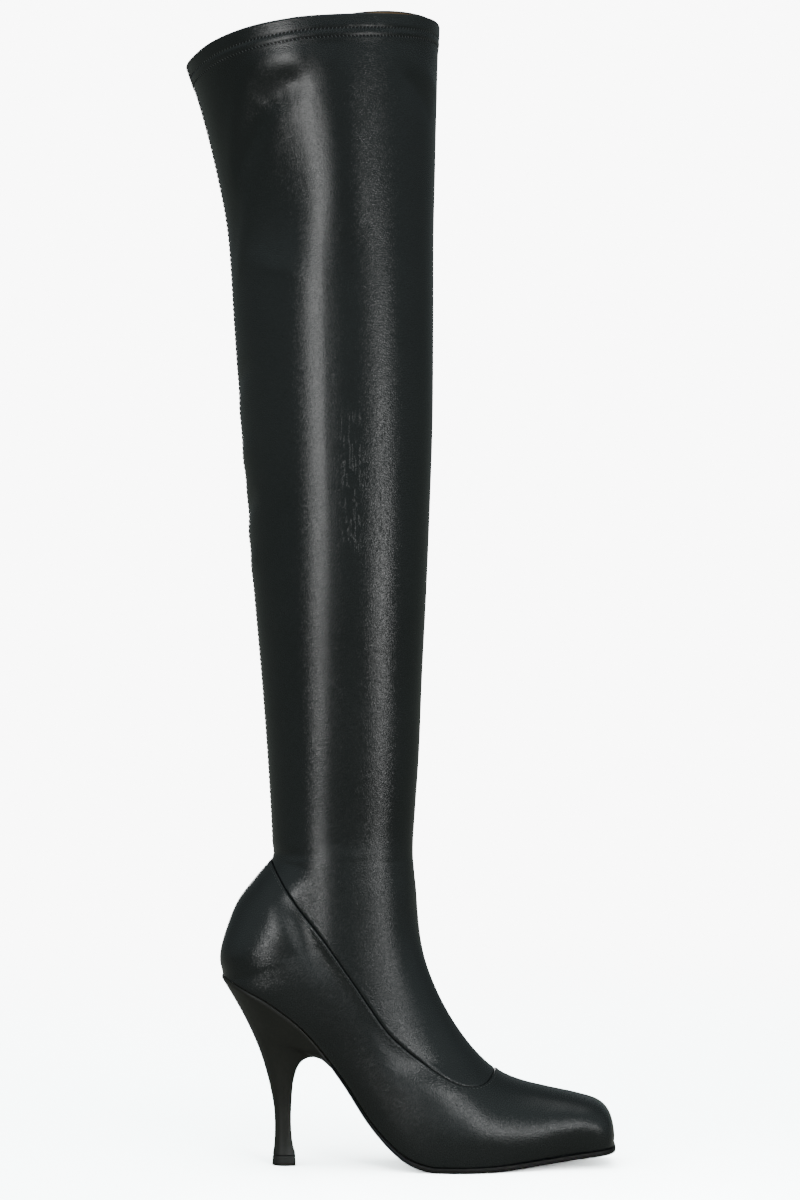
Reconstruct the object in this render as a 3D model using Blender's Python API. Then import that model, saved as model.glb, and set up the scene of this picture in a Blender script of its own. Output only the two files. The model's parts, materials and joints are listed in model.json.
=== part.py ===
"""Thigh high boot for the right foot, with a square toe and a curved stiletto heel.

Run with: blender --background --python part.py
Metres, +Z up, toe towards +X, outer (lateral) side towards -Y.
The boot stands on its heel tip and the ball of the sole, centred over the origin.
"""

import math

import bmesh
import bpy
import numpy as np

# Driving sizes of the foot, in metres
FOOT_LENGTH = 0.2257      # level distance from the back of the counter to the toe
BALL_WIDTH = 0.0765       # sole across the ball
SEAT_HEIGHT = 0.1102      # floor to the back edge of the heel seat
VAMP_HEIGHT = 0.0512      # feather line to the top of the upper over the ball
ANKLE_RISE = 0.0667       # heel seat to the throat where the shaft starts at the back

# Driving sizes of the shaft
SHAFT_HEIGHT = 0.4716     # throat to the collar over the shin
THIGH_DEPTH = 0.1455      # collar, front to back
THIGH_WIDTH = 0.122       # collar, side to side
COLLAR_DIP = 0.0232       # how far the collar drops from the shin to the back
HEM_HEIGHT = 0.0115       # folded and stitched hem at the collar
HEM_STEP = 0.0005         # how far the folded hem stands proud

# Walls, sole and heel
UPPER_WALL = 0.0018
SHAFT_WALL = 0.0013
SOLE_THICKNESS = 0.0033
WAIST_SOLE_THICKNESS = 0.0021
SOLE_MARGIN = 0.0010      # the sole's edge outside the feather line
SOLE_BEVEL = 0.0012       # rounding of the sole's lower edge
INSOLE_THICKNESS = 0.0020
TIP_LENGTH = 0.0128
TIP_WIDTH = 0.0124
TIP_HEIGHT = 0.0060
SEAT_RIM = 0.0020         # thickness of the heel's rim and of its lip at the breast
GAP = 0.0003              # between pieces that are joined in the real boot
SEAM_GAP = 0.0003         # between the upper and the shaft along their seam
EDGE_SPREAD = 1.15        # most that a slanting wall widens where it is cut level
TIP_FLARE = 0.00032       # how far the heel tip spreads at the floor

# Places along the foot, as shares of FOOT_LENGTH from the back of the counter
SEAT_BACK = 0.0075        # back end of the feather line
SEAT_CENTRE = 0.117       # where the round back of the seat starts
TIP_CENTRE = 0.162        # middle of the heel tip
LIP = 0.284               # front lip of the heel, where the outsole starts
WAIST_END = 0.42          # from here forward the outsole has its full thickness
LEAST_STEP = 0.005        # least distance between two stations of the sole

# Mesh resolution
STEPS_PER_SECTION = 2
LEG_ROWS = 17
TOP_COLUMNS = 9           # from the ridge to the widest line, on each side
LOW_COLUMNS = 6           # from the widest line to the feather or back line
SHARP_ANGLE = 40          # degrees between faces that are shaded as an edge
LATERAL, MEDIAL = -1, 1

# Sections of the foot, from the toe to the throat. Each spans from a point on the bottom
# or back line to a point on the front line.
# back: x, share of FOOT_LENGTH. lift: z, share of the seat's rise over the ball.
# rise: further z, share of ANKLE_RISE. reach: forward to the front line, share of FOOT_LENGTH.
# height: up to the front line, share of VAMP_HEIGHT. centre, half: middle and half width,
# shares of BALL_WIDTH. widest: where the section is widest, share from back to front.
# roll: form below the widest line, 2 straight to 1 round. dome: form above it, 1 round.
FOOT_SECTIONS = (
    # section, back, lift, rise, reach, height, centre, half, widest, roll, dome
    ("toe edge",      0.8706, 0.042, 0.00, 0.1294, 0.076,  0.077, 0.323, 0.30, 1.60, 0.48),
    ("toe wall",      0.8617, 0.040, 0.00, 0.1390, 0.236,  0.075, 0.341, 0.28, 1.55, 0.50),
    ("toe brow",      0.8529, 0.037, 0.00, 0.1372, 0.428,  0.072, 0.360, 0.26, 1.50, 0.55),
    ("toe top",       0.8418, 0.034, 0.00, 0.1200, 0.566,  0.068, 0.377, 0.25, 1.45, 0.64),
    ("toe box",       0.8174, 0.029, 0.00, 0.0890, 0.662,  0.061, 0.404, 0.24, 1.40, 0.78),
    ("toe back",      0.7731, 0.018, 0.00, 0.0620, 0.758,  0.053, 0.446, 0.24, 1.35, 0.90),
    ("vamp",          0.7067, 0.006, 0.00, 0.0576, 0.864,  0.040, 0.487, 0.25, 1.30, 0.95),
    ("ball",          0.6225, 0.000, 0.00, 0.0795, 1.000,  0.020, 0.512, 0.27, 1.25, 0.97),
    ("ball back",     0.5428, 0.000, 0.00, 0.1085, 1.200,  0.000, 0.491, 0.30, 1.20, 0.98),
    ("waist front",   0.4648, 0.059, 0.00, 0.1400, 1.343, -0.018, 0.452, 0.34, 1.15, 0.99),
    ("waist",         0.3833, 0.228, 0.00, 0.1839, 1.268, -0.022, 0.412, 0.36, 1.10, 0.99),
    ("shank",         0.3057, 0.472, 0.00, 0.2348, 1.012, -0.014, 0.397, 0.38, 1.05, 0.99),
    ("breast",        0.2193, 0.705, 0.00, 0.3022, 0.762, -0.005, 0.396, 0.38, 1.00, 1.00),
    ("seat front",    0.1289, 0.859, 0.00, 0.3819, 0.646,  0.000, 0.395, 0.36, 1.00, 1.00),
    ("seat",          0.0687, 0.930, 0.00, 0.4369, 0.664,  0.000, 0.390, 0.33, 1.00, 1.00),
    ("seat round",    0.0288, 0.975, 0.00, 0.4741, 0.697,  0.000, 0.386, 0.32, 1.00, 1.00),
    ("seat back",     0.0075, 1.000, 0.00, 0.4936, 0.742,  0.000, 0.384, 0.32, 1.00, 1.00),
    ("counter low",   0.0000, 1.000, 0.14, 0.4993, 0.684,  0.000, 0.385, 0.34, 1.00, 1.00),
    ("counter",       0.0111, 1.000, 0.33, 0.4860, 0.557,  0.000, 0.387, 0.37, 1.00, 1.00),
    ("counter high",  0.0443, 1.000, 0.62, 0.4497, 0.303,  0.000, 0.391, 0.40, 1.02, 1.00),
    ("counter top",   0.0953, 1.000, 0.85, 0.3965, 0.117,  0.000, 0.396, 0.42, 1.05, 1.00),
    ("throat",        0.1338, 1.000, 1.00, 0.3562, 0.020,  0.000, 0.400, 0.43, 1.08, 1.00),
)
ROUND_FROM_SECTION = 12   # place of "breast": from there the wall turns in like an ellipse
ROUND_SECTION = 15        # place of "seat round", where it does so fully
SEAT_BACK_SECTION = 16    # place of "seat back": the sections after it are closed behind

# Sections of the leg, from just over the throat to the hem line.
# level: z over the throat, share of SHAFT_HEIGHT. lean, deepen, widen: how far the front
# line, the depth and the width have moved from those of the throat to those of the collar.
LEG_SECTIONS = (
    # section, level, lean, deepen, widen, widest, roll
    ("ankle",       0.022, 0.002, 0.004, 0.01, 0.43, 1.10),
    ("shin",        0.060, 0.020, 0.035, 0.04, 0.43, 1.12),
    ("low calf",    0.130, 0.054, 0.100, 0.11, 0.43, 1.14),
    ("calf",        0.220, 0.080, 0.175, 0.20, 0.44, 1.16),
    ("full calf",   0.330, 0.120, 0.285, 0.33, 0.45, 1.18),
    ("under knee",  0.440, 0.152, 0.376, 0.43, 0.45, 1.20),
    ("knee",        0.530, 0.172, 0.447, 0.50, 0.45, 1.20),
    ("over knee",   0.640, 0.178, 0.507, 0.58, 0.46, 1.18),
    ("low thigh",   0.750, 0.180, 0.562, 0.68, 0.46, 1.16),
    ("thigh",       0.825, 0.192, 0.672, 0.77, 0.46, 1.14),
    ("high thigh",  0.900, 0.204, 0.822, 0.88, 0.46, 1.12),
    ("collar",      0.970, 0.218, 1.000, 1.00, 0.46, 1.12),
    ("above",       1.040, 0.235, 1.180, 1.06, 0.46, 1.12),
)

# Rim of the collar. turn: round the leg, 0 at the shin to 1 at the back seam.
# lateral, medial: z over the rim at the shin, shares of COLLAR_DIP.
COLLAR = (
    # place, turn, lateral, medial
    ("shin",       0.0,  0.00,  0.00),
    ("shin side",  0.1,  0.13,  0.20),
    ("quarter",    0.2,  0.19,  0.40),
    ("side front", 0.3,  0.21,  0.53),
    ("crest",      0.4,  0.20,  0.55),
    ("side",       0.5,  0.16,  0.44),
    ("side back",  0.6,  0.08,  0.22),
    ("dip",        0.7, -0.10, -0.06),
    ("low dip",    0.8, -0.40, -0.39),
    ("corner",     0.9, -0.76, -0.76),
    ("back",       1.0, -1.00, -1.00),
)

# Feather line in plan. x: share of FOOT_LENGTH. lateral, medial: shares of BALL_WIDTH.
OUTLINE = (
    # place, x, lateral, medial
    ("seat",        0.117, 0.318, 0.318),
    ("seat front",  0.180, 0.314, 0.301),
    ("breast",      0.228, 0.301, 0.268),
    ("shank",       0.273, 0.290, 0.235),
    ("waist",       0.317, 0.292, 0.209),
    ("arch",        0.366, 0.314, 0.207),
    ("arch front",  0.414, 0.357, 0.235),
    ("joint back",  0.463, 0.403, 0.294),
    ("joint",       0.516, 0.444, 0.386),
    ("ball back",   0.596, 0.475, 0.484),
    ("ball",        0.649, 0.467, 0.516),
    ("ball front",  0.707, 0.431, 0.516),
    ("toe back",    0.773, 0.364, 0.478),
    ("toe box",     0.835, 0.298, 0.434),
    ("toe side",    0.8706, 0.269, 0.414),
    ("toe corner",  0.915, 0.248, 0.400),
)

# Heel block, from the tip to the seat. back, front, wide: from the tip's size to the
# seat's, so a negative share is thinner than the tip. high_back, high_front: shares of the
# height of the seat's back and of the lip.
HEEL_SECTIONS = (
    # section, back, front, wide, high_back, high_front
    ("tip",         0.000,  0.000,  0.000, 0.0000, 0.0000),
    ("ankle",      -0.028, -0.068, -0.044, 0.0560, 0.1110),
    ("neck",       -0.041, -0.108, -0.055, 0.1550, 0.3070),
    ("stem",       -0.020, -0.098, -0.033, 0.2640, 0.5400),
    ("swell",       0.076, -0.035,  0.077, 0.4020, 0.8150),
    ("flare",       0.231,  0.120,  0.250, 0.5510, 1.0080),
    ("body",        0.438,  0.400,  0.450, 0.6900, 1.0920),
    ("cup",         0.697,  0.715,  0.700, 0.8290, 1.0780),
)
HEEL_STEPS = 2
HEEL_COLUMNS = 10         # points from the back of the heel to its front corner
D_WIDEST = 0.55           # where a heel section is widest, share from back to front
D_CORNER = 0.80           # its width at the front corners, share of the widest

# Seam between the upper and the shaft, seen from the side: from behind the throat down the
# side and round the tongue of the shaft over the instep.
# x: share of FOOT_LENGTH. z: share of the throat's height over the ball's feather line.
SEAM = (
    # place, x, z
    ("behind",       0.020, 1.270),
    ("over throat",  0.090, 1.105),
    ("throat",       0.133, 0.985),
    ("upper back",   0.194, 0.857),
    ("ankle side",   0.263, 0.743),
    ("instep side",  0.338, 0.604),
    ("low instep",   0.417, 0.453),
    ("vamp side",    0.465, 0.389),
    ("vamp",         0.513, 0.340),
    ("tongue side",  0.560, 0.298),
    ("tongue low",   0.600, 0.271),
    ("tongue",       0.639, 0.260),
    ("tongue tip",   0.674, 0.268),
    ("ridge",        0.697, 0.300),
    ("over ridge",   0.706, 0.350),
    ("clear",        0.715, 0.450),
)

# Edge of the outsole, from the bottom up. inside: how far inside the widest edge, share of
# SOLE_BEVEL. drop: below the top of the sole, share of its thickness.
SOLE_EDGE = (
    # place, inside, drop
    ("bottom",       1.0, 1.00),
    ("edge low",     0.0, 0.62),
    ("edge high",    0.0, 0.12),
    ("top",          0.4, 0.00),
)

# Rows of the hem, from its fold line up to the rim: how proud it stands, share of HEM_STEP
HEM_PROUD = (1.0, 1.0, 0.4)

# Colours, roughness and metallic value of each piece
BLACK_LEATHER = ("black leather", (0.012, 0.014, 0.015), 0.42, 0.0)
STRETCH_LEATHER = ("black stretch leather", (0.013, 0.015, 0.016), 0.38, 0.0)
SOLE_BLACK = ("black sole", (0.008, 0.008, 0.009), 0.50, 0.0)
TIP_BLACK = ("black heel tip", (0.010, 0.010, 0.010), 0.65, 0.0)
LINING_TAN = ("tan lining", (0.42, 0.27, 0.15), 0.80, 0.0)

FLOOR_LEVEL = SOLE_THICKNESS + GAP            # feather line over the flat spot
SEAT_RISE = SEAT_HEIGHT - FLOOR_LEVEL
THROAT_Z = SEAT_HEIGHT + ANKLE_RISE
COLUMNS = TOP_COLUMNS + LOW_COLUMNS
THROAT_SECTION = len(FOOT_SECTIONS) - 1


def smooth(table, at):
    """Catmull-Rom curve through the rows of table, read at the row numbers in at."""
    rows = np.asarray(table, float)
    at = np.clip(np.asarray(at, float), 0.0, len(rows) - 1.0)
    low = np.minimum(at.astype(int), len(rows) - 2)
    u = at - low
    slope = np.gradient(rows, axis=0)
    if rows.ndim > 1:
        u = u[..., None]
    p0, p1, m0, m1 = rows[low], rows[low + 1], slope[low], slope[low + 1]
    return (
        p0 * (2 * u**3 - 3 * u**2 + 1)
        + m0 * (u**3 - 2 * u**2 + u)
        + p1 * (3 * u**2 - 2 * u**3)
        + m1 * (u**3 - u**2)
    )


def smooth_in_x(table, x):
    """Column 1 of table as a smooth function of its column 0, which increases."""
    table = np.asarray(table, float)
    dense = smooth(table, np.linspace(0, len(table) - 1, 16 * len(table)))
    return np.interp(x, dense[:, 0], dense[:, 1])


def frame_rows():
    """Every section in metres: back x and z, front x and z, centre, half, widest, roll, dome."""
    rows = []
    for _, back, lift, rise, reach, height, centre, half, widest, roll, dome in FOOT_SECTIONS:
        x = back * FOOT_LENGTH
        z = FLOOR_LEVEL + lift * SEAT_RISE + rise * ANKLE_RISE
        front_x, front_z = x + reach * FOOT_LENGTH, z + height * VAMP_HEIGHT
        width = (centre * BALL_WIDTH, half * BALL_WIDTH)
        rows.append((x, z, front_x, front_z, *width, widest, roll, dome))
    back_x, _, front_x, _, _, half = rows[-1][:6]
    depth = front_x - back_x
    for _, level, lean, deepen, widen, widest, roll in LEG_SECTIONS:
        z = THROAT_Z + level * SHAFT_HEIGHT
        front = front_x + lean * (THIGH_DEPTH - depth)
        back = front - depth - deepen * (THIGH_DEPTH - depth)
        wide = half + widen * (THIGH_WIDTH / 2 - half)
        rows.append((back, z, front, z, 0.0, wide, widest, roll, 1.0))
    return np.array(rows)


ROWS = frame_rows()


def section_values(at):
    """The values of frame_rows at the section numbers in at. The back line has a corner at the
    back of the seat, so the sections on either side of it are two curves."""
    at = np.asarray(at, float)
    under = smooth(ROWS[: SEAT_BACK_SECTION + 1], at)
    over = smooth(ROWS[SEAT_BACK_SECTION:], at - SEAT_BACK_SECTION)
    return np.where(at[..., None] < SEAT_BACK_SECTION, under, over)


def outline_half(side, x):
    """Half width of the feather line on one side, at x in metres."""
    column = 2 if side == LATERAL else 3
    table = [(row[1] * FOOT_LENGTH, row[column] * BALL_WIDTH) for row in OUTLINE]
    half = smooth_in_x(table, x)
    centre, back = SEAT_CENTRE * FOOT_LENGTH, SEAT_BACK * FOOT_LENGTH
    behind = np.clip((centre - x) / (centre - back), 0.0, 1.0)
    return half * np.sqrt(1.0 - behind**2)


def boot_point(at, column):
    """Points of the outer surface. at: section numbers. column: -COLUMNS (lateral feather or
    back line) to COLUMNS (medial), with 0 on the ridge. Both are arrays of one shape."""
    at, column = np.broadcast_arrays(np.asarray(at, float), np.asarray(column, float))
    back_x, back_z, front_x, front_z, centre, half, widest, roll, dome = np.moveaxis(
        section_values(at), -1, 0
    )
    back_z = np.maximum(back_z, FLOOR_LEVEL)
    side = np.where(column < 0, LATERAL, MEDIAL)
    count = np.abs(column)
    open_under = at < SEAT_BACK_SECTION - 1e-6
    feather = np.where(
        side == LATERAL, outline_half(LATERAL, back_x), outline_half(MEDIAL, back_x)
    )
    feather = np.where(open_under, feather, 0.0)
    top_turn = np.clip(math.pi / 2 * (1 - count / TOP_COLUMNS), 0.0, math.pi / 2)
    low_turn = np.clip(math.pi / 2 * (count - TOP_COLUMNS) / LOW_COLUMNS, 0.0, math.pi / 2)
    wide = half + side * centre
    over = count <= TOP_COLUMNS
    share = np.where(
        over,
        widest + (1 - widest) * np.sin(top_turn) ** dome,
        widest * (1 - np.sin(low_turn) ** roll),
    )
    cosine = np.maximum(np.cos(np.where(over, top_turn, low_turn)), 0.0)
    straight = feather + (wide - feather) * cosine**roll
    elliptic = np.sqrt(feather**2 + np.maximum(wide**2 - feather**2, 0.0) * cosine ** (2 * roll))
    round_share = np.clip(
        (at - ROUND_FROM_SECTION) / (ROUND_SECTION - ROUND_FROM_SECTION), 0.0, 1.0
    )
    under = straight + (elliptic - straight) * round_share
    y = np.where(over, centre + side * half * cosine**dome, side * under)
    closed_back = ~open_under & (count > COLUMNS - 1e-6)
    y = np.where(closed_back, 0.0, y)
    x = back_x + share * (front_x - back_x)
    z = back_z + share * (front_z - back_z)
    return np.stack([x, y, z], axis=-1)


def bottom_z(x):
    """Height of the feather line, which is also the underside of the insole, at x."""
    at = np.linspace(0, SEAT_BACK_SECTION, 12 * SEAT_BACK_SECTION + 1)
    rows = section_values(at)
    toe = ROWS[0]
    line_x = np.concatenate([rows[::-1, 0], [toe[2]]])
    line_z = np.maximum(np.concatenate([rows[::-1, 1], [toe[3]]]), FLOOR_LEVEL)
    return np.interp(x, line_x, line_z)


def collar_rows():
    """Section numbers of the leg's rows, one array over the columns for each row."""
    column = np.arange(-COLUMNS, COLUMNS + 1)
    lateral = smooth_in_x([(row[1], row[2]) for row in COLLAR], -column / COLUMNS)
    medial = smooth_in_x([(row[1], row[3]) for row in COLLAR], column / COLUMNS)
    rim = 1.0 + np.where(column < 0, lateral, medial) * COLLAR_DIP / SHAFT_HEIGHT
    level = np.array([row[1] for row in LEG_SECTIONS])
    number = THROAT_SECTION + 1 + np.arange(len(level))
    hem = rim - HEM_HEIGHT / SHAFT_HEIGHT
    rows = [np.interp(level[0] + (hem - level[0]) * share, level, number)
            for share in np.linspace(0, 1, LEG_ROWS)]
    step = HEM_STEP / SHAFT_HEIGHT
    rows += [np.interp(z, level, number) for z in (hem + step, rim - step, rim)]
    return rows


def shell_points():
    """Rows of points over the whole boot, from the toe edge to the rim of the collar."""
    column = np.arange(-COLUMNS, COLUMNS + 1)
    foot = np.linspace(0, THROAT_SECTION, THROAT_SECTION * STEPS_PER_SECTION + 1)
    numbers = [np.full(len(column), t) for t in foot] + collar_rows()
    points = boot_point(np.array(numbers), np.array(column)[None, :])
    middle = points[:, :, :2].mean(axis=1, keepdims=True)
    outward = points[-3:, :, :2] - middle[-3:]
    length = np.linalg.norm(outward, axis=2, keepdims=True)
    proud = np.array(HEM_PROUD)[:, None, None] * HEM_STEP
    points[-3:, :, :2] += outward / length * proud
    return points


def material(finish):
    name, colour, roughness, metallic = finish
    made = bpy.data.materials.get(name) or bpy.data.materials.new(name)
    made.use_nodes = True
    shader = made.node_tree.nodes["Principled BSDF"]
    shader.inputs["Base Color"].default_value = (*colour, 1.0)
    shader.inputs["Roughness"].default_value = roughness
    shader.inputs["Metallic"].default_value = metallic
    made.diffuse_color = (*colour, 1.0)
    return made


def add_object(name, points, faces, finish=None):
    """A mesh object. Without a finish it is a cutter, which is not part of the boot."""
    mesh = bpy.data.meshes.new(name)
    mesh.from_pydata([tuple(map(float, p)) for p in points], [], faces)
    mesh.validate()
    made = bpy.data.objects.new(name, mesh)
    bpy.context.scene.collection.objects.link(made)
    if finish is None:
        made.hide_render = True
        made.display_type = "WIRE"
    else:
        mesh.materials.append(material(finish))
        mesh.shade_smooth()
        mesh.set_sharp_from_angle(angle=math.radians(SHARP_ANGLE))
    return made


def outward_normals(grid):
    """Unit normals of the shell's grid, which is closed round the leg from the seat upwards."""
    closed = SEAT_BACK_SECTION * STEPS_PER_SECTION
    along = np.gradient(grid, axis=0)
    across = np.gradient(grid, axis=1)
    round_back = (grid[closed:, 1] - grid[closed:, -2]) / 2
    across[closed:, 0] = across[closed:, -1] = round_back
    normals = np.cross(across, along)
    along_back = along[closed:, 0] + along[closed:, -1]
    normals[closed:, 0] = normals[closed:, -1] = np.cross(round_back, along_back)
    return normals / np.linalg.norm(normals, axis=2, keepdims=True)


def inner_points(grid):
    """The lining side of the shell: the grid moved in by the wall, level along its edges."""
    normals = outward_normals(grid)
    rows, columns = grid.shape[:2]
    closed = SEAT_BACK_SECTION * STEPS_PER_SECTION
    foot_rows = THROAT_SECTION * STEPS_PER_SECTION + 1
    wall = np.where(np.arange(rows) < foot_rows, UPPER_WALL, SHAFT_WALL)[:, None, None]
    edge = np.zeros((rows, columns), bool)
    edge[0] = edge[-3:] = True
    edge[: closed + 1, [0, -1]] = True
    x = grid[:, :, 0]
    near = LEAST_STEP * FOOT_LENGTH
    slope = (bottom_z(x + near) - bottom_z(x - near)) / (2 * near)
    slope[closed + 1:] = 0.0
    under = np.stack([-slope, np.zeros_like(slope), np.ones_like(slope)], axis=2)
    under /= np.linalg.norm(under, axis=2, keepdims=True)
    level = normals - (normals * under).sum(axis=2, keepdims=True) * under
    length = np.linalg.norm(level, axis=2, keepdims=True)
    level *= np.minimum(1 / length, EDGE_SPREAD) / length
    return grid - wall * np.where(edge[:, :, None], level, normals)


def shell_object(name, finish):
    """The whole leather shell, open along the feather line and at the collar."""
    outer = shell_points()
    inner = inner_points(outer)
    rows, columns = outer.shape[:2]
    closed = SEAT_BACK_SECTION * STEPS_PER_SECTION
    index = np.arange(rows * columns).reshape(rows, columns)
    index[closed:, -1] = index[closed:, 0]
    used, flat = np.unique(index, return_inverse=True)
    index = flat.reshape(rows, columns)
    shift = len(used)
    points = np.vstack([outer.reshape(-1, 3)[used], inner.reshape(-1, 3)[used]])
    faces = []
    for i in range(rows - 1):
        for j in range(columns - 1):
            corners = [index[i, j], index[i, j + 1], index[i + 1, j + 1], index[i + 1, j]]
            corners = [int(c) for c in dict.fromkeys(corners)]
            faces.append(corners)
            faces.append([shift + c for c in corners[::-1]])
    under = list(index[closed:0:-1, 0]) + list(index[0]) + list(index[1:closed, -1])
    for rim in (under, list(index[-1, :-1])[::-1]):
        for a, b in zip(rim, rim[1:] + rim[:1]):
            faces.append([int(b), int(a), shift + int(a), shift + int(b)])
    return add_object(name, points, faces, finish)


def seam_line(shift):
    """The seam's side view, moved by shift towards the leg, as x and z in metres."""
    height = THROAT_Z - FLOOR_LEVEL
    knots = np.array([(x * FOOT_LENGTH, FLOOR_LEVEL + z * height) for _, x, z in SEAM])
    line = smooth(knots, np.linspace(0, len(knots) - 1, 3 * (len(knots) - 1) + 1))
    along = np.gradient(line, axis=0)
    normal = np.stack([-along[:, 1], along[:, 0]], axis=1)
    normal /= np.linalg.norm(normal, axis=1, keepdims=True)
    return line + shift * normal


def seam_prism(name, shift, closing):
    """A cutter across the boot, bounded by the seam and by the closing points."""
    outline = np.vstack([seam_line(shift), closing])
    reach = THIGH_WIDTH
    count = len(outline)
    points = [(x, side * reach, z) for side in (LATERAL, MEDIAL) for x, z in outline]
    faces = [list(range(count)), list(range(2 * count - 1, count - 1, -1))]
    faces += [[i, count + i, count + (i + 1) % count, (i + 1) % count] for i in range(count)]
    prism = add_object(name, points, faces)
    recalculate_normals(prism)
    return prism


def recalculate_normals(made):
    """Turns the faces of a closed mesh outwards."""
    work = bmesh.new()
    work.from_mesh(made.data)
    bmesh.ops.recalc_face_normals(work, faces=work.faces)
    work.to_mesh(made.data)
    work.free()


def keep_inside(made, cutter):
    cut = made.modifiers.new("seam", "BOOLEAN")
    cut.operation = "INTERSECT"
    cut.object = cutter
    cut.solver = "EXACT"


def upper_and_shaft():
    """The leather shell in two pieces, which meet along the seam."""
    far = 2 * FOOT_LENGTH
    top = THROAT_Z + SHAFT_HEIGHT + THIGH_DEPTH
    start, end = seam_line(0.0)[0], seam_line(0.0)[-1]
    leg_side = [(far, end[1]), (far, top), (-far, top), (-far, start[1])]
    foot_side = [(far, end[1]), (far, -far), (-far, -far), (-far, start[1])]
    upper = shell_object("upper", BLACK_LEATHER)
    keep_inside(upper, seam_prism("seam_cut_foot", -SEAM_GAP / 2, foot_side))
    shaft = shell_object("shaft", STRETCH_LEATHER)
    keep_inside(shaft, seam_prism("seam_cut_leg", SEAM_GAP / 2, leg_side))


def side_line(side, x):
    return np.stack([x, side * outline_half(side, x)], axis=1)


def toe_line():
    """The feather line round the toe, from the lateral to the medial side."""
    return boot_point(0.0, np.arange(-COLUMNS, COLUMNS + 1))[:, :2]


def side_stations(start):
    """x of the shell's own rows, from start to where the toe's own line begins."""
    at = np.arange(SEAT_BACK_SECTION * STEPS_PER_SECTION, -1, -1) / STEPS_PER_SECTION
    rows = section_values(at)[:, 0]
    return np.concatenate([[start], rows[rows > start + LEAST_STEP * FOOT_LENGTH]])


def station_z(x):
    """Height of the shell's underside at x, straight between the shell's own rows as its faces
    are, so that what lies under it keeps its gap."""
    stations = np.append(side_stations(SEAT_BACK * FOOT_LENGTH), ROWS[0, 2])
    return np.interp(x, stations, bottom_z(stations))


def moved_out(line, distance):
    """An open line in plan, lateral side first, moved outwards by distance."""
    along = np.gradient(line, axis=0)
    normal = np.stack([along[:, 1], -along[:, 0]], axis=1)
    return line + distance * normal / np.linalg.norm(normal, axis=1, keepdims=True)


def ring_faces(loops, count):
    """Side faces between loops of count points, the loops running up from the lowest."""
    faces = []
    for k in range(loops - 1):
        for i in range(count):
            n = (i + 1) % count
            faces.append([k * count + i, k * count + n, (k + 1) * count + n, (k + 1) * count + i])
    return faces


def cap_faces(count, first, upward):
    """Faces across a loop whose point i lies over from its point count - 1 - i."""
    faces = []
    for i in range(count // 2):
        corners = [first + i, first + i + 1, first + count - 2 - i, first + count - 1 - i]
        corners = list(dict.fromkeys(corners))
        if len(corners) > 2:
            faces.append(corners if upward else corners[::-1])
    return faces


def plate_object(name, loops, finish):
    """A closed solid from loops of points, lowest first, each from lateral round to medial."""
    count = len(loops[0])
    faces = ring_faces(len(loops), count)
    faces += cap_faces(count, 0, False) + cap_faces(count, (len(loops) - 1) * count, True)
    made = add_object(name, np.vstack(loops), faces, finish)
    recalculate_normals(made)
    return made


def outsole():
    """Sole from the heel's lip to the toe, thinner at the waist, flat under the ball."""
    start = LIP * FOOT_LENGTH + GAP
    x = side_stations(start)
    line = np.vstack([side_line(LATERAL, x[:-1]), toe_line(), side_line(MEDIAL, x[:-1])[::-1]])

    def level(line, drop):
        along = np.interp(line[:, 0], [start, WAIST_END * FOOT_LENGTH], [0.0, 1.0])
        thickness = WAIST_SOLE_THICKNESS + along * (SOLE_THICKNESS - WAIST_SOLE_THICKNESS)
        z = station_z(np.maximum(line[:, 0], start)) - GAP - drop * thickness
        return np.column_stack([np.maximum(line[:, 0], start), line[:, 1], np.maximum(z, 0.0)])

    def loop(outward, drop):
        moved = moved_out(line, outward)
        moved[[0, -1], 0] = start
        return level(moved, drop)

    loops = [loop(SOLE_MARGIN - inside * SOLE_BEVEL, drop) for _, inside, drop in SOLE_EDGE]
    return plate_object("outsole", loops, SOLE_BLACK)


def insole():
    """Insole board inside the upper, from the heel seat to the toe."""
    inset = -(UPPER_WALL + 2 * GAP)
    x = side_stations(SEAT_BACK * FOOT_LENGTH)
    side_x = x[1:-1]
    sides = (side_line(LATERAL, side_x), toe_line(), side_line(MEDIAL, side_x)[::-1])
    line = np.vstack([[[x[0], 0.0]], *sides])
    turned = np.vstack([line[-1:], line, line[:1]])
    line = moved_out(turned, inset)[1:-1]
    line = np.vstack([line[1:], line[:1]])

    def level(rise):
        return np.column_stack([line, station_z(line[:, 0]) + rise])

    loops = [level(0.0), level(INSOLE_THICKNESS)]
    count = len(line)
    back = count - 1
    faces = ring_faces(2, count)
    for first, upward in ((0, False), (count, True)):
        faces += cap_faces(back, first, upward)
        tail = [first + back, first, first + back - 1]
        faces.append(tail if upward else tail[::-1])
    made = add_object("insole", np.vstack(loops), faces, LINING_TAN)
    recalculate_normals(made)
    return made


def d_section(back, front, half, high_back, high_front):
    """A heel section with a round back and a flat front, from its lateral front corner round
    the back to its medial front corner."""
    turn = np.linspace(0, math.pi / 2, HEEL_COLUMNS)
    share = 1 - np.cos(turn)
    rising = np.clip(share / D_WIDEST, 0, 1)
    falling = np.clip((share - D_WIDEST) / (1 - D_WIDEST), 0, 1)
    wide = half * np.sqrt(1 - (1 - rising) ** 2) * (1 - (1 - D_CORNER) * falling**2)
    share = np.concatenate([share[::-1], share[1:]])
    y = np.concatenate([LATERAL * wide[::-1], MEDIAL * wide[1:]])
    x = back + share * (front - back)
    z = high_back + share * (high_front - high_back)
    return np.column_stack([x, y, z])


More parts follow.
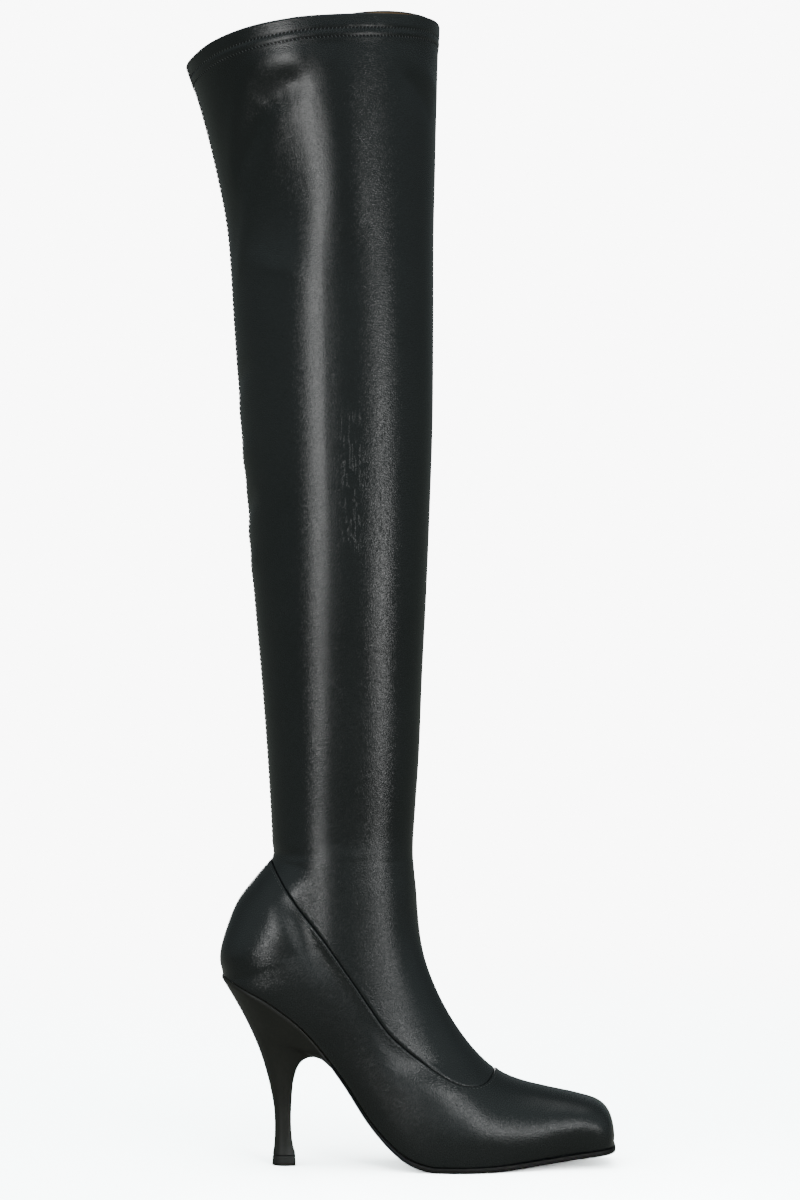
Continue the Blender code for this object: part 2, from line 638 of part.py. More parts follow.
def seat_loop(drop):
    """The heel's edge under the seat, lowered by drop from the seat's surface."""
    turn = np.linspace(0, math.pi / 2, HEEL_COLUMNS)
    back, front = SEAT_BACK * FOOT_LENGTH, LIP * FOOT_LENGTH
    x = back + (1 - np.cos(turn)) * (front - back)
    line = np.vstack([side_line(LATERAL, x)[::-1], side_line(MEDIAL, x)[1:]])
    line = moved_out(line[::-1], SOLE_MARGIN / 2)[::-1]
    line[:, 0] = np.minimum(line[:, 0], front)
    return np.column_stack([line, station_z(line[:, 0]) - GAP - drop])


def tip_ends():
    """x of the back and front of the heel tip."""
    centre = TIP_CENTRE * FOOT_LENGTH
    return centre - TIP_LENGTH / 2, centre + TIP_LENGTH / 2


def heel():
    """Covered heel block, from the heel tip to the seat under the upper."""
    tip_back, tip_front = tip_ends()
    seat_back, lip = SEAT_BACK * FOOT_LENGTH, LIP * FOOT_LENGTH
    seat_half = float(outline_half(LATERAL, SEAT_CENTRE * FOOT_LENGTH))
    base = TIP_HEIGHT + GAP
    top_back = float(bottom_z(seat_back)) - base
    top_front = float(bottom_z(lip)) - GAP - SEAT_RIM - base
    sections = []
    for _, back, front, wide, high_back, high_front in HEEL_SECTIONS:
        sections.append(d_section(
            tip_back + back * (seat_back - tip_back),
            tip_front + front * (lip - tip_front),
            TIP_WIDTH / 2 + wide * (seat_half - TIP_WIDTH / 2),
            base + high_back * top_back,
            base + high_front * top_front,
        ))
    sections.append(seat_loop(SEAT_RIM))
    steps = (len(sections) - 1) * HEEL_STEPS + 1
    rows = np.array(sections)
    flat = smooth(rows.reshape(len(rows), -1), np.linspace(0, len(rows) - 1, steps))
    loops = list(flat.reshape(steps, -1, 3)) + [seat_loop(0.0)]
    return plate_object("heel", [loop[::-1] for loop in loops], BLACK_LEATHER)


def heel_tip():
    """Top piece under the heel, with a flat face on the floor."""
    back, front = tip_ends()
    low_half = TIP_WIDTH / 2 + TIP_FLARE
    low = d_section(back - TIP_FLARE, front + TIP_FLARE, low_half, 0.0, 0.0)
    high = d_section(back, front, TIP_WIDTH / 2, TIP_HEIGHT, TIP_HEIGHT)
    return plate_object("heel_tip", [low[::-1], high[::-1]], TIP_BLACK)


def stand_over_origin():
    """Moves every mesh so that the boot's box is centred over the origin, on the floor."""
    bpy.context.view_layer.update()
    graph = bpy.context.evaluated_depsgraph_get()
    low, high = np.full(3, np.inf), np.full(3, -np.inf)
    for made in bpy.context.scene.objects:
        if made.hide_render:
            continue
        corners = np.array([v.co for v in made.evaluated_get(graph).data.vertices])
        low = np.minimum(low, corners.min(axis=0))
        high = np.maximum(high, corners.max(axis=0))
    middle = (low + high) / 2
    for made in bpy.context.scene.objects:
        made.location = (-middle[0], -middle[1], -low[2])


def main():
    for old in list(bpy.data.objects):
        bpy.data.objects.remove(old)
    upper_and_shaft()
    outsole()
    insole()
    heel()
    heel_tip()
    stand_over_origin()


main()
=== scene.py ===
"""Looks of the thigh high boot: grain leather foot, stretch leather leg with a stitched hem,
covered stiletto heel, thin sole and tan lining. Metres, +Z up, toe towards +X."""

import json
import math

import bpy
import bmesh
import numpy as np
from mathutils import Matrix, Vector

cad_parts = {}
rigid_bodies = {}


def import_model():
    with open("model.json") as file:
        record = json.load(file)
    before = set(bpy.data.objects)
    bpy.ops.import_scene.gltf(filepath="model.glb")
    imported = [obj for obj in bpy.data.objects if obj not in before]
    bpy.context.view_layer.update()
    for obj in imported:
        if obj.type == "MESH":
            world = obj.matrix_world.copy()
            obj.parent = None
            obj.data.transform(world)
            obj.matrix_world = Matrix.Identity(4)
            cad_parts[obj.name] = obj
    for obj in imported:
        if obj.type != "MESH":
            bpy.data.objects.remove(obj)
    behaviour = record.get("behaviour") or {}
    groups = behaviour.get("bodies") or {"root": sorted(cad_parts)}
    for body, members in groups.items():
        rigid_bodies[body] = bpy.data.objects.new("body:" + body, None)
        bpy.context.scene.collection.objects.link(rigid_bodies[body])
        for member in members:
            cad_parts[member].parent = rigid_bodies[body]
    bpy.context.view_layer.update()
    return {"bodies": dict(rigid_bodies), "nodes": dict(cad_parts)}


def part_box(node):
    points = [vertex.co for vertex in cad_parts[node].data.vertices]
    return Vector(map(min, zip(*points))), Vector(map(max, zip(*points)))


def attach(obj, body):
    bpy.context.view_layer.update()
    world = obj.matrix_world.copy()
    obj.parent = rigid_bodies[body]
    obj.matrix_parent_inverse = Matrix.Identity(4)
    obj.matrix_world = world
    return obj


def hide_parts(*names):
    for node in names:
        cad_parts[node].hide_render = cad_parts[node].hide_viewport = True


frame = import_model()

# Sizes of the foot and leg, as in the solids
FOOT_LENGTH = 0.2257
BALL_WIDTH = 0.0765
SEAT_HEIGHT = 0.1102
VAMP_HEIGHT = 0.0512
ANKLE_RISE = 0.0667
SHAFT_HEIGHT = 0.4716
THIGH_DEPTH = 0.1455
THIGH_WIDTH = 0.122
COLLAR_DIP = 0.0232
HEM_STEP = 0.0005
UPPER_WALL = 0.0018
SHAFT_WALL = 0.0013
SOLE_THICKNESS = 0.0033
WAIST_SOLE_THICKNESS = 0.0021
SOLE_MARGIN = 0.0010
SOLE_BEVEL = 0.0012
INSOLE_THICKNESS = 0.0020
TIP_LENGTH = 0.0128
TIP_WIDTH = 0.0124
TIP_HEIGHT = 0.0060
TIP_FLARE = 0.00032
TIP_EDGE = 0.0004           # rounding of its edges
SEAT_RIM = 0.0020
GAP = 0.0003
SEAT_BACK = 0.0075
SEAT_CENTRE = 0.117
TIP_CENTRE = 0.162
LIP = 0.284
WAIST_END = 0.42
TOP_COLUMNS = 9
LOW_COLUMNS = 6
COLUMNS = TOP_COLUMNS + LOW_COLUMNS
LATERAL, MEDIAL = -1, 1

# Brightness of the white surround and of the floor where it is lit
SURROUND = 9.0
FLOOR_GAIN = 16.0
FLOOR_REACH = 9.0
FLOOR_REFLECTED = (0.50, 0.49, 0.44, 1.0)
FLOOR_FADE = (0.25, 1.3)     # metres from the middle where it turns into the surround

# The camera as worked out from the photo: sizes in its pixels, place, degrees down
PHOTO_HEIGHT = 1200.0
PHOTO_FOCAL = 5263.0
SENSOR_HEIGHT = 36.0
CAMERA_PLACE = (-0.0012, -3.0, 0.456)
CAMERA_DOWN = 2.52

# Fineness of the visible surfaces
FINE_COLUMNS = 92         # from the ridge to the feather or back line
FOOT_STEP = 0.0021
LEG_STEP = 0.0021
LINING_COLUMNS = 30
LINING_STEP = 0.006
LEG_BASE = 22.0
SEAM_LEVELS = (-0.0022, -0.0013, -0.0008, -0.0004, -0.00018, 0.0, 0.0004, 0.001, 0.0022)
HEM_ROWS = (0.0070, 0.0115)
HEM_ZONE = 0.016
HEM_ROW_COLUMNS = 120
ROW_SINK = 0.00028
ROW_HALF_WIDTH = 0.0009
LEG_RISE = 0.94           # share of the leg's height that lies above its base section
SEAM_POINTS = 1400
HEM_DOWNS = (0.0, 0.0005, 0.0011, 0.0019, 0.0029, 0.0041, 0.0053, 0.0062, 0.0067, 0.0072, 0.0078,
             0.0088, 0.0099, 0.0107, 0.0112, 0.0117, 0.0123, 0.0131, 0.0144, HEM_ZONE)

FOOT_SECTIONS = (
    # section, back, lift, rise, reach, height, centre, half, widest, roll, dome
    ("toe edge",      0.8706, 0.042, 0.00, 0.1294, 0.076,  0.077, 0.323, 0.30, 1.60, 0.48),
    ("toe wall",      0.8617, 0.040, 0.00, 0.1390, 0.236,  0.075, 0.341, 0.28, 1.55, 0.50),
    ("toe brow",      0.8529, 0.037, 0.00, 0.1372, 0.428,  0.072, 0.360, 0.26, 1.50, 0.55),
    ("toe top",       0.8418, 0.034, 0.00, 0.1200, 0.566,  0.068, 0.377, 0.25, 1.45, 0.64),
    ("toe box",       0.8174, 0.029, 0.00, 0.0890, 0.662,  0.061, 0.404, 0.24, 1.40, 0.78),
    ("toe back",      0.7731, 0.018, 0.00, 0.0620, 0.758,  0.053, 0.446, 0.24, 1.35, 0.90),
    ("vamp",          0.7067, 0.006, 0.00, 0.0576, 0.864,  0.040, 0.487, 0.25, 1.30, 0.95),
    ("ball",          0.6225, 0.000, 0.00, 0.0795, 1.000,  0.020, 0.512, 0.27, 1.25, 0.97),
    ("ball back",     0.5428, 0.000, 0.00, 0.1085, 1.200,  0.000, 0.491, 0.30, 1.20, 0.98),
    ("waist front",   0.4648, 0.059, 0.00, 0.1400, 1.343, -0.018, 0.452, 0.34, 1.15, 0.99),
    ("waist",         0.3833, 0.228, 0.00, 0.1839, 1.268, -0.022, 0.412, 0.36, 1.10, 0.99),
    ("shank",         0.3057, 0.472, 0.00, 0.2348, 1.012, -0.014, 0.397, 0.38, 1.05, 0.99),
    ("breast",        0.2193, 0.705, 0.00, 0.3022, 0.762, -0.005, 0.396, 0.38, 1.00, 1.00),
    ("seat front",    0.1289, 0.859, 0.00, 0.3819, 0.646,  0.000, 0.395, 0.36, 1.00, 1.00),
    ("seat",          0.0687, 0.930, 0.00, 0.4369, 0.664,  0.000, 0.390, 0.33, 1.00, 1.00),
    ("seat round",    0.0288, 0.975, 0.00, 0.4741, 0.697,  0.000, 0.386, 0.32, 1.00, 1.00),
    ("seat back",     0.0075, 1.000, 0.00, 0.4936, 0.742,  0.000, 0.384, 0.32, 1.00, 1.00),
    ("counter low",   0.0000, 1.000, 0.14, 0.4993, 0.684,  0.000, 0.385, 0.34, 1.00, 1.00),
    ("counter",       0.0111, 1.000, 0.33, 0.4860, 0.557,  0.000, 0.387, 0.37, 1.00, 1.00),
    ("counter high",  0.0443, 1.000, 0.62, 0.4497, 0.303,  0.000, 0.391, 0.40, 1.02, 1.00),
    ("counter top",   0.0953, 1.000, 0.85, 0.3965, 0.117,  0.000, 0.396, 0.42, 1.05, 1.00),
    ("throat",        0.1338, 1.000, 1.00, 0.3562, 0.020,  0.000, 0.400, 0.43, 1.08, 1.00),
)
ROUND_FROM_SECTION = 12
ROUND_SECTION = 15
SEAT_BACK_SECTION = 16

LEG_SECTIONS = (
    # section, level, lean, deepen, widen, widest, roll
    ("ankle",       0.022, 0.002, 0.004, 0.01, 0.43, 1.10),
    ("shin",        0.060, 0.020, 0.035, 0.04, 0.43, 1.12),
    ("low calf",    0.130, 0.054, 0.100, 0.11, 0.43, 1.14),
    ("calf",        0.220, 0.080, 0.175, 0.20, 0.44, 1.16),
    ("full calf",   0.330, 0.120, 0.285, 0.33, 0.45, 1.18),
    ("under knee",  0.440, 0.152, 0.376, 0.43, 0.45, 1.20),
    ("knee",        0.530, 0.172, 0.447, 0.50, 0.45, 1.20),
    ("over knee",   0.640, 0.178, 0.507, 0.58, 0.46, 1.18),
    ("low thigh",   0.750, 0.180, 0.562, 0.68, 0.46, 1.16),
    ("thigh",       0.825, 0.192, 0.672, 0.77, 0.46, 1.14),
    ("high thigh",  0.900, 0.204, 0.822, 0.88, 0.46, 1.12),
    ("collar",      0.970, 0.218, 1.000, 1.00, 0.46, 1.12),
    ("above",       1.040, 0.235, 1.180, 1.06, 0.46, 1.12),
)

COLLAR = (
    # place, turn, lateral, medial
    ("shin",       0.0,  0.00,  0.00),
    ("shin side",  0.1,  0.13,  0.20),
    ("quarter",    0.2,  0.19,  0.40),
    ("side front", 0.3,  0.21,  0.53),
    ("crest",      0.4,  0.20,  0.55),
    ("side",       0.5,  0.16,  0.44),
    ("side back",  0.6,  0.08,  0.22),
    ("dip",        0.7, -0.10, -0.06),
    ("low dip",    0.8, -0.40, -0.39),
    ("corner",     0.9, -0.76, -0.76),
    ("back",       1.0, -1.00, -1.00),
)

OUTLINE = (
    # place, x, lateral, medial
    ("seat",        0.117, 0.318, 0.318),
    ("seat front",  0.180, 0.314, 0.301),
    ("breast",      0.228, 0.301, 0.268),
    ("shank",       0.273, 0.290, 0.235),
    ("waist",       0.317, 0.292, 0.209),
    ("arch",        0.366, 0.314, 0.207),
    ("arch front",  0.414, 0.357, 0.235),
    ("joint back",  0.463, 0.403, 0.294),
    ("joint",       0.516, 0.444, 0.386),
    ("ball back",   0.596, 0.475, 0.484),
    ("ball",        0.649, 0.467, 0.516),
    ("ball front",  0.707, 0.431, 0.516),
    ("toe back",    0.773, 0.364, 0.478),
    ("toe box",     0.835, 0.298, 0.434),
    ("toe side",    0.8706, 0.269, 0.414),
    ("toe corner",  0.915, 0.248, 0.400),
)

HEEL_SECTIONS = (
    # section, back, front, wide, high_back, high_front
    ("tip",         0.000,  0.000,  0.000, 0.0000, 0.0000),
    ("ankle",      -0.028, -0.068, -0.044, 0.0560, 0.1110),
    ("neck",       -0.041, -0.108, -0.055, 0.1550, 0.3070),
    ("stem",       -0.020, -0.098, -0.033, 0.2640, 0.5400),
    ("swell",       0.076, -0.035,  0.077, 0.4020, 0.8150),
    ("flare",       0.231,  0.120,  0.250, 0.5510, 1.0080),
    ("body",        0.438,  0.400,  0.450, 0.6900, 1.0920),
    ("cup",         0.697,  0.715,  0.700, 0.8290, 1.0780),
)
D_WIDEST = 0.55
D_CORNER = 0.80

SEAM = (
    # place, x, z
    ("behind",       0.020, 1.270),
    ("over throat",  0.090, 1.105),
    ("throat",       0.133, 0.985),
    ("upper back",   0.194, 0.857),
    ("ankle side",   0.263, 0.743),
    ("instep side",  0.338, 0.604),
    ("low instep",   0.417, 0.453),
    ("vamp side",    0.465, 0.389),
    ("vamp",         0.513, 0.340),
    ("tongue side",  0.560, 0.298),
    ("tongue low",   0.600, 0.271),
    ("tongue",       0.639, 0.260),
    ("tongue tip",   0.674, 0.268),
    ("ridge",        0.697, 0.300),
    ("over ridge",   0.706, 0.350),
    ("clear",        0.715, 0.450),
)

# Soft folds of the stretch leg. Each runs from one place to another, bowed sideways in the
# middle. turn: round the leg, 0 at the shin to 1 at the back seam, negative on the outer side.
# height: share of the way from the throat to the collar. width: metres. depth: metres,
# positive for a ridge and negative for a trough.
FOLDS = (
    # fold, start turn and height, end turn and height, bow, width, depth
    ("thigh flat",      (-0.490, 0.975), (-0.545, 0.740),  0.000, 0.028,  0.0013),
    ("slack behind",    (-0.655, 0.925), (-0.755, 0.710),  0.000, 0.030, -0.0028),
    ("arc top",         (-0.575, 0.958), (-0.745, 0.940), -0.003, 0.012,  0.0012),
    ("arc side",        (-0.735, 0.945), (-0.872, 0.815), -0.001, 0.007,  0.0009),
    ("under arc",       (-0.580, 0.934), (-0.725, 0.902), -0.002, 0.012, -0.0017),
    ("beside arc",      (-0.700, 0.915), (-0.850, 0.820),  0.000, 0.010, -0.0013),
    ("shin ridge",      (-0.235, 0.962), (-0.030, 0.915),  0.000, 0.007,  0.0008),
    ("shin trough",     (-0.285, 0.942), (-0.115, 0.893),  0.000, 0.008, -0.0009),
    ("back crease",     (-0.820, 0.800), (-0.905, 0.700),  0.000, 0.006,  0.0006),
    ("knee one",        (-0.860, 0.600), (-1.010, 0.565),  0.001, 0.009, -0.0007),
    ("knee two",        (-0.850, 0.500), (-1.020, 0.475), -0.001, 0.010,  0.0007),
    ("knee three",      (-0.870, 0.445), (-1.030, 0.410),  0.001, 0.009, -0.0008),
    ("knee four",       (-0.880, 0.370), (-1.020, 0.345),  0.000, 0.009,  0.0006),
    ("inner flat",      (0.480, 0.970),  (0.560, 0.750),   0.000, 0.026,  0.0015),
    ("inner slack",     (0.680, 0.930),  (0.780, 0.720),   0.000, 0.026, -0.0018),
    ("inner arc",       (0.580, 0.965),  (0.800, 0.900),   0.003, 0.009,  0.0010),
    ("inner under arc", (0.585, 0.943),  (0.760, 0.885),   0.002, 0.009, -0.0010),
    ("inner knee one",  (0.850, 0.560),  (1.010, 0.530),   0.001, 0.009,  0.0006),
    ("inner knee two",  (0.870, 0.490),  (1.020, 0.455),  -0.001, 0.010, -0.0008),
    ("inner knee three", (0.880, 0.410), (1.020, 0.385),   0.000, 0.009,  0.0007),
    ("inner shin",      (0.060, 0.955),  (0.220, 0.925),   0.000, 0.008,  0.0007),
)

FOLD_AROUND = 1.35          # half the way round the leg, as a share of THIGH_DEPTH
FOLD_POINTS = 25
FOLD_REACH = 2.2            # widths beyond which a fold isn't felt

# Seam up the back of the leg: share of the leg's height, and turn towards the outer side.
BACK_SEAM = (
    # height, turn
    (0.00, 1.000),
    (0.55, 1.000),
    (0.80, 0.978),
    (0.93, 0.955),
    (1.00, 0.948),
)
BACK_ROW_SETOFF = 0.0017
BACK_ROW_START = 20.4       # section
BACK_ROW_POINTS = 500

# Fine upright cracks in the leg's coating: outer side, share of turn and of height.
CRACKLE_TURN = (-0.53, -0.40)
CRACKLE_HEIGHT = (0.395, 0.52)

# Stitches, and the near-black ovals of painted shade in their needle holes: metres, and for Tilt
# radians. Shift is along the row.
STITCH_SIZES = ("Spacing", "Length", "Width", "Height", "Shift", "Tilt")
HEM_STITCH = (0.0022, 0.0018, 0.00052, 0.00050, 0.0011, 1.05)
HEM_HOLE_SHADE = (0.0022, 0.0018, 0.00105, 0.00036, 0.0, 1.05)
BACK_STITCH = (0.0028, 0.0020, 0.00045, 0.00045, 0.0, 0.0)
SEAM_STITCH = (0.0024, 0.0017, 0.00038, 0.00038, 0.0, 0.0)
HEM_STITCH_SINK = 0.00008
SEAM_ROW_SETOFF = 0.0016
SEAM_ROW_LIFT = 0.00052

# The leg's sides run on from the ankle to the seam, off the swept surface. inward: the most
# that they leave it towards the middle. levels: heights between which that fades in. below:
# how far under the seam the foot still follows. edge: half width at which it begins.
INSTEP_SECTION = 6
ANKLE_SECTION = 22
ANKLE_BLEND = 1.1           # sections
LEG_RUN_INWARD = 0.0035
LEG_RUN_LEVELS = (0.044, 0.064)
LEG_RUN_BELOW = 0.030
LEG_RUN_EDGE = 0.012

# Edges of the visible leather: distance from the seam, and lift off the plain surface.
FOOT_EDGE = (
    (0.0, -0.00045),
    (0.00018, 0.00005),
    (0.0004, 0.00036),
    (0.0008, 0.00050),
    (0.0014, 0.00046),
    (0.0026, 0.00034),
    (0.006, 0.00012),
    (0.012, 0.0),
)
LEG_EDGE = (
    (0.0, -0.0007),
    (0.0003, -0.0003),
    (0.0008, -0.00010),
    (0.0013, 0.00008),
    (0.0019, 0.00004),
    (0.003, 0.0),
)
EDGE_TURN_IN = 0.0008
RIM_STEPS = 8
SAME_PLACE = 0.00002        # knots nearer than this become one
FAR_FROM_SEAM = 0.2         # stands for the distance from the seam above the ankle

# Small turned and faded edges, in metres.
UNDER_EDGE = (
    # in, down
    (0.0002, 0.00018),
    (0.0018, 0.0001),
)
HEEL_RIM = (
    # share of SEAT_RIM below the seat, in
    (0.4, 0.0),
    (0.10, 0.0001),
    (0.0, 0.0004),
)
HEEL_COLUMNS = 22
HEM_STEP_FADE = (0.001, 0.003)      # above and below the lower hem row
BACK_LINE_FADE = (0.008, 0.015)
CRACKLE_FADE = (0.04, 0.03)         # shares of turn and of height

FLOOR_LEVEL = SOLE_THICKNESS + GAP
SEAT_RISE = SEAT_HEIGHT - FLOOR_LEVEL
THROAT_Z = SEAT_HEIGHT + ANKLE_RISE
THROAT_SECTION = len(FOOT_SECTIONS) - 1
COLLAR_SECTION = THROAT_SECTION + len(LEG_SECTIONS)

tip_low, tip_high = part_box("heel_tip")
SHIFT = np.array([
    (tip_low.x + tip_high.x) / 2 - TIP_CENTRE * FOOT_LENGTH,
    (tip_low.y + tip_high.y) / 2,
    0.0,
])


def smooth(table, at):
    """Catmull-Rom curve through the rows of table, read at the row numbers in at."""
    rows = np.asarray(table, float)
    at = np.clip(np.asarray(at, float), 0.0, len(rows) - 1.0)
    low = np.minimum(at.astype(int), len(rows) - 2)
    u = at - low
    slope = np.gradient(rows, axis=0)
    if rows.ndim > 1:
        u = u[..., None]
    p0, p1, m0, m1 = rows[low], rows[low + 1], slope[low], slope[low + 1]
    return (
        p0 * (2 * u**3 - 3 * u**2 + 1)
        + m0 * (u**3 - 2 * u**2 + u)
        + p1 * (3 * u**2 - 2 * u**3)
        + m1 * (u**3 - u**2)
    )


def smooth_in_x(table, x):
    """Column 1 of table as a smooth function of its column 0, which increases."""
    table = np.asarray(table, float)
    dense = smooth(table, np.linspace(0, len(table) - 1, 16 * len(table)))
    return np.interp(x, dense[:, 0], dense[:, 1])


def ease(value, low, high):
    """0 below low, 1 above high, and smooth between them."""
    share = np.clip((np.asarray(value, float) - low) / (high - low), 0.0, 1.0)
    return share * share * (3 - 2 * share)


def frame_rows():
    """Every section in metres: back x and z, front x and z, centre, half, widest, roll, dome."""
    rows = []
    for _, back, lift, rise, reach, height, centre, half, widest, roll, dome in FOOT_SECTIONS:
        x = back * FOOT_LENGTH
        z = FLOOR_LEVEL + lift * SEAT_RISE + rise * ANKLE_RISE
        front_x, front_z = x + reach * FOOT_LENGTH, z + height * VAMP_HEIGHT
        width = (centre * BALL_WIDTH, half * BALL_WIDTH)
        rows.append((x, z, front_x, front_z, *width, widest, roll, dome))
    back_x, _, front_x, _, _, half = rows[-1][:6]
    depth = front_x - back_x
    for _, level, lean, deepen, widen, widest, roll in LEG_SECTIONS:
        z = THROAT_Z + level * SHAFT_HEIGHT
        front = front_x + lean * (THIGH_DEPTH - depth)
        back = front - depth - deepen * (THIGH_DEPTH - depth)
        wide = half + widen * (THIGH_WIDTH / 2 - half)
        rows.append((back, z, front, z, 0.0, wide, widest, roll, 1.0))
    return np.array(rows)


ROWS = frame_rows()


def section_values(at, corner):
    """The values of frame_rows at the section numbers in at. corner is 1 at the back line,
    where the sections below and above the back of the seat are two curves, and fades to 0
    over the sides, where one curve runs through them all."""
    at = np.asarray(at, float)
    whole = smooth(ROWS, at)
    under = smooth(ROWS[: SEAT_BACK_SECTION + 1], at)
    over = smooth(ROWS[SEAT_BACK_SECTION:], at - SEAT_BACK_SECTION)
    parted = np.where(at[..., None] < SEAT_BACK_SECTION, under, over)
    return whole + (parted - whole) * corner[..., None]


def outline_half(side, x):
    """Half width of the feather line on one side, at x in metres."""
    column = 2 if side == LATERAL else 3
    table = [(row[1] * FOOT_LENGTH, row[column] * BALL_WIDTH) for row in OUTLINE]
    half = smooth_in_x(table, x)
    centre, back = SEAT_CENTRE * FOOT_LENGTH, SEAT_BACK * FOOT_LENGTH
    behind = np.clip((centre - x) / (centre - back), 0.0, 1.0)
    return half * np.sqrt(1.0 - behind**2)


def swept_point(at, column):
    """Points of the swept surface, for section numbers and columns of one shape."""
    at, column = np.broadcast_arrays(np.asarray(at, float), np.asarray(column, float))
    back_x, back_z, front_x, front_z, centre, half, widest, roll, dome = np.moveaxis(
        section_values(at, ease(np.abs(column), TOP_COLUMNS - 1.0, COLUMNS - 1.0)), -1, 0
    )
    back_z = np.maximum(back_z, FLOOR_LEVEL)
    side = np.where(column < 0, LATERAL, MEDIAL)
    count = np.abs(column)
    open_under = at < SEAT_BACK_SECTION - 1e-6
    feather = np.where(
        side == LATERAL, outline_half(LATERAL, back_x), outline_half(MEDIAL, back_x)
    )
    feather = np.where(open_under, feather, 0.0)
    top_turn = np.clip(math.pi / 2 * (1 - count / TOP_COLUMNS), 0.0, math.pi / 2)
    low_turn = np.clip(math.pi / 2 * (count - TOP_COLUMNS) / LOW_COLUMNS, 0.0, math.pi / 2)
    wide = half + side * centre
    over = count <= TOP_COLUMNS
    share = np.where(
        over,
        widest + (1 - widest) * np.sin(top_turn) ** dome,
        widest * (1 - np.sin(low_turn) ** roll),
    )
    cosine = np.maximum(np.cos(np.where(over, top_turn, low_turn)), 0.0)
    straight = feather + (wide - feather) * cosine**roll
    elliptic = np.sqrt(feather**2 + np.maximum(wide**2 - feather**2, 0.0) * cosine ** (2 * roll))
    round_share = np.clip(
        (at - ROUND_FROM_SECTION) / (ROUND_SECTION - ROUND_FROM_SECTION), 0.0, 1.0
    )
    under = straight + (elliptic - straight) * round_share
    y = np.where(over, centre + side * half * cosine**dome, side * under)
    y = np.where(~open_under & (count > COLUMNS - 1e-6), 0.0, y)
    x = back_x + share * (front_x - back_x)
    z = back_z + share * (front_z - back_z)
    return np.stack([x, y, z], axis=-1) + SHIFT


def seam_side_view():
    """The seam between the upper and the shaft, seen from the side, as x and z."""
    height = THROAT_Z - FLOOR_LEVEL
    knots = np.array([(x * FOOT_LENGTH, FLOOR_LEVEL + z * height) for _, x, z in SEAM])
    line = smooth(knots, np.linspace(0, len(knots) - 1, 12 * len(knots)))
    return line + SHIFT[[0, 2]]


def over_seam(points):
    """Height over the seam in side view: negative on the foot, positive on the leg."""
    line = seam_side_view()
    return points[..., 2] - np.interp(points[..., 0], line[:, 0], line[:, 1], right=1.0)


def leg_run():
    """The ankle's outline as x and y on one side, and the lines of the leg's back and front
    from there down, as z and x."""
    ankle = swept_point(float(ANKLE_SECTION), -np.linspace(COLUMNS, 0, 400))
    back = swept_point(np.linspace(THROAT_SECTION, ANKLE_SECTION + 1, 60), -float(COLUMNS))
    front = swept_point(np.linspace(INSTEP_SECTION, ANKLE_SECTION + 1, 500), 0.0)
    front = front[np.argsort(front[:, 2])]
    return ankle[:, 0], np.abs(ankle[:, 1]), back[:, 2], back[:, 0], front[:, 2], front[:, 0]


RUN_X, RUN_Y, RUN_BACK_Z, RUN_BACK_X, RUN_FRONT_Z, RUN_FRONT_X = leg_run()


def boot_point(at, column):
    """Points of the outer surface. From the ankle down to the seam the sides keep the run of
    the leg above them, a little off the swept surface, and the foot follows them there."""
    at, column = np.broadcast_arrays(np.asarray(at, float), np.asarray(column, float))
    points = swept_point(at, column)
    x, z = points[..., 0], points[..., 2]
    wide = np.abs(points[..., 1])
    back = np.interp(z, RUN_BACK_Z, RUN_BACK_X)
    front = np.interp(z, RUN_FRONT_Z, RUN_FRONT_X)
    run = RUN_X[0] + (x - back) * (RUN_X[-1] - RUN_X[0]) / (front - back)
    off = np.interp(run, RUN_X, RUN_Y) - wide
    inward = -LEG_RUN_INWARD * np.tanh(-off / LEG_RUN_INWARD)
    off = np.where(off > 0, off, inward)
    below = np.where(off > 0, LEG_RUN_BELOW / 2, LEG_RUN_BELOW)
    share = (
        ease(ANKLE_SECTION + 0.5 - at, 0.0, ANKLE_BLEND)
        * ease(z, *LEG_RUN_LEVELS)
        * ease(over_seam(points) / below, -1.0, 0.0)
        * ease(wide, 0.0, LEG_RUN_EDGE)
    )
    moved = points.copy()
    moved[..., 1] += np.sign(points[..., 1]) * share * off
    return moved


def bottom_z(x):
    """Height of the feather line, which is also the underside of the insole, at x."""
    at = np.linspace(0, SEAT_BACK_SECTION, 12 * SEAT_BACK_SECTION + 1)
    rows = section_values(at, np.ones(np.shape(at)))
    toe = ROWS[0]
    line_x = np.concatenate([rows[::-1, 0], [toe[2]]])
    line_z = np.maximum(np.concatenate([rows[::-1, 1], [toe[3]]]), FLOOR_LEVEL)
    return np.interp(x, line_x, line_z)


def rim_section(column):
    """Section number of the collar's rim at each column."""
    lateral = smooth_in_x([(row[1], row[2]) for row in COLLAR], -column / COLUMNS)
    medial = smooth_in_x([(row[1], row[3]) for row in COLLAR], column / COLUMNS)
    rim = 1.0 + np.where(column < 0, lateral, medial) * COLLAR_DIP / SHAFT_HEIGHT
    level = np.array([row[1] for row in LEG_SECTIONS])
    return np.interp(rim, level, THROAT_SECTION + 1 + np.arange(len(level)))


def fine_columns(count):
    half = np.linspace(0, COLUMNS, count + 1)
    return np.concatenate([-half[:0:-1], half])


def wrap(column):
    """Column number brought back within one turn of the leg."""
    return (column + COLUMNS) % (2 * COLUMNS) - COLUMNS


def even_sections(start, end, column, step):
    """Section numbers from start to end whose rows lie about a step apart."""
    pieces = [start]
    for low in range(int(start), int(math.ceil(end))):
        high = min(low + 1, end)
        dense = np.linspace(low, high, 9)
        points = boot_point(dense[:, None], column[None, ::4])
        run = np.linalg.norm(np.diff(points, axis=0), axis=2).sum(axis=0).max()
        count = max(2, int(math.ceil(run / step)))
        pieces += list(np.linspace(low, high, count + 1)[1:])
    return np.array(pieces)


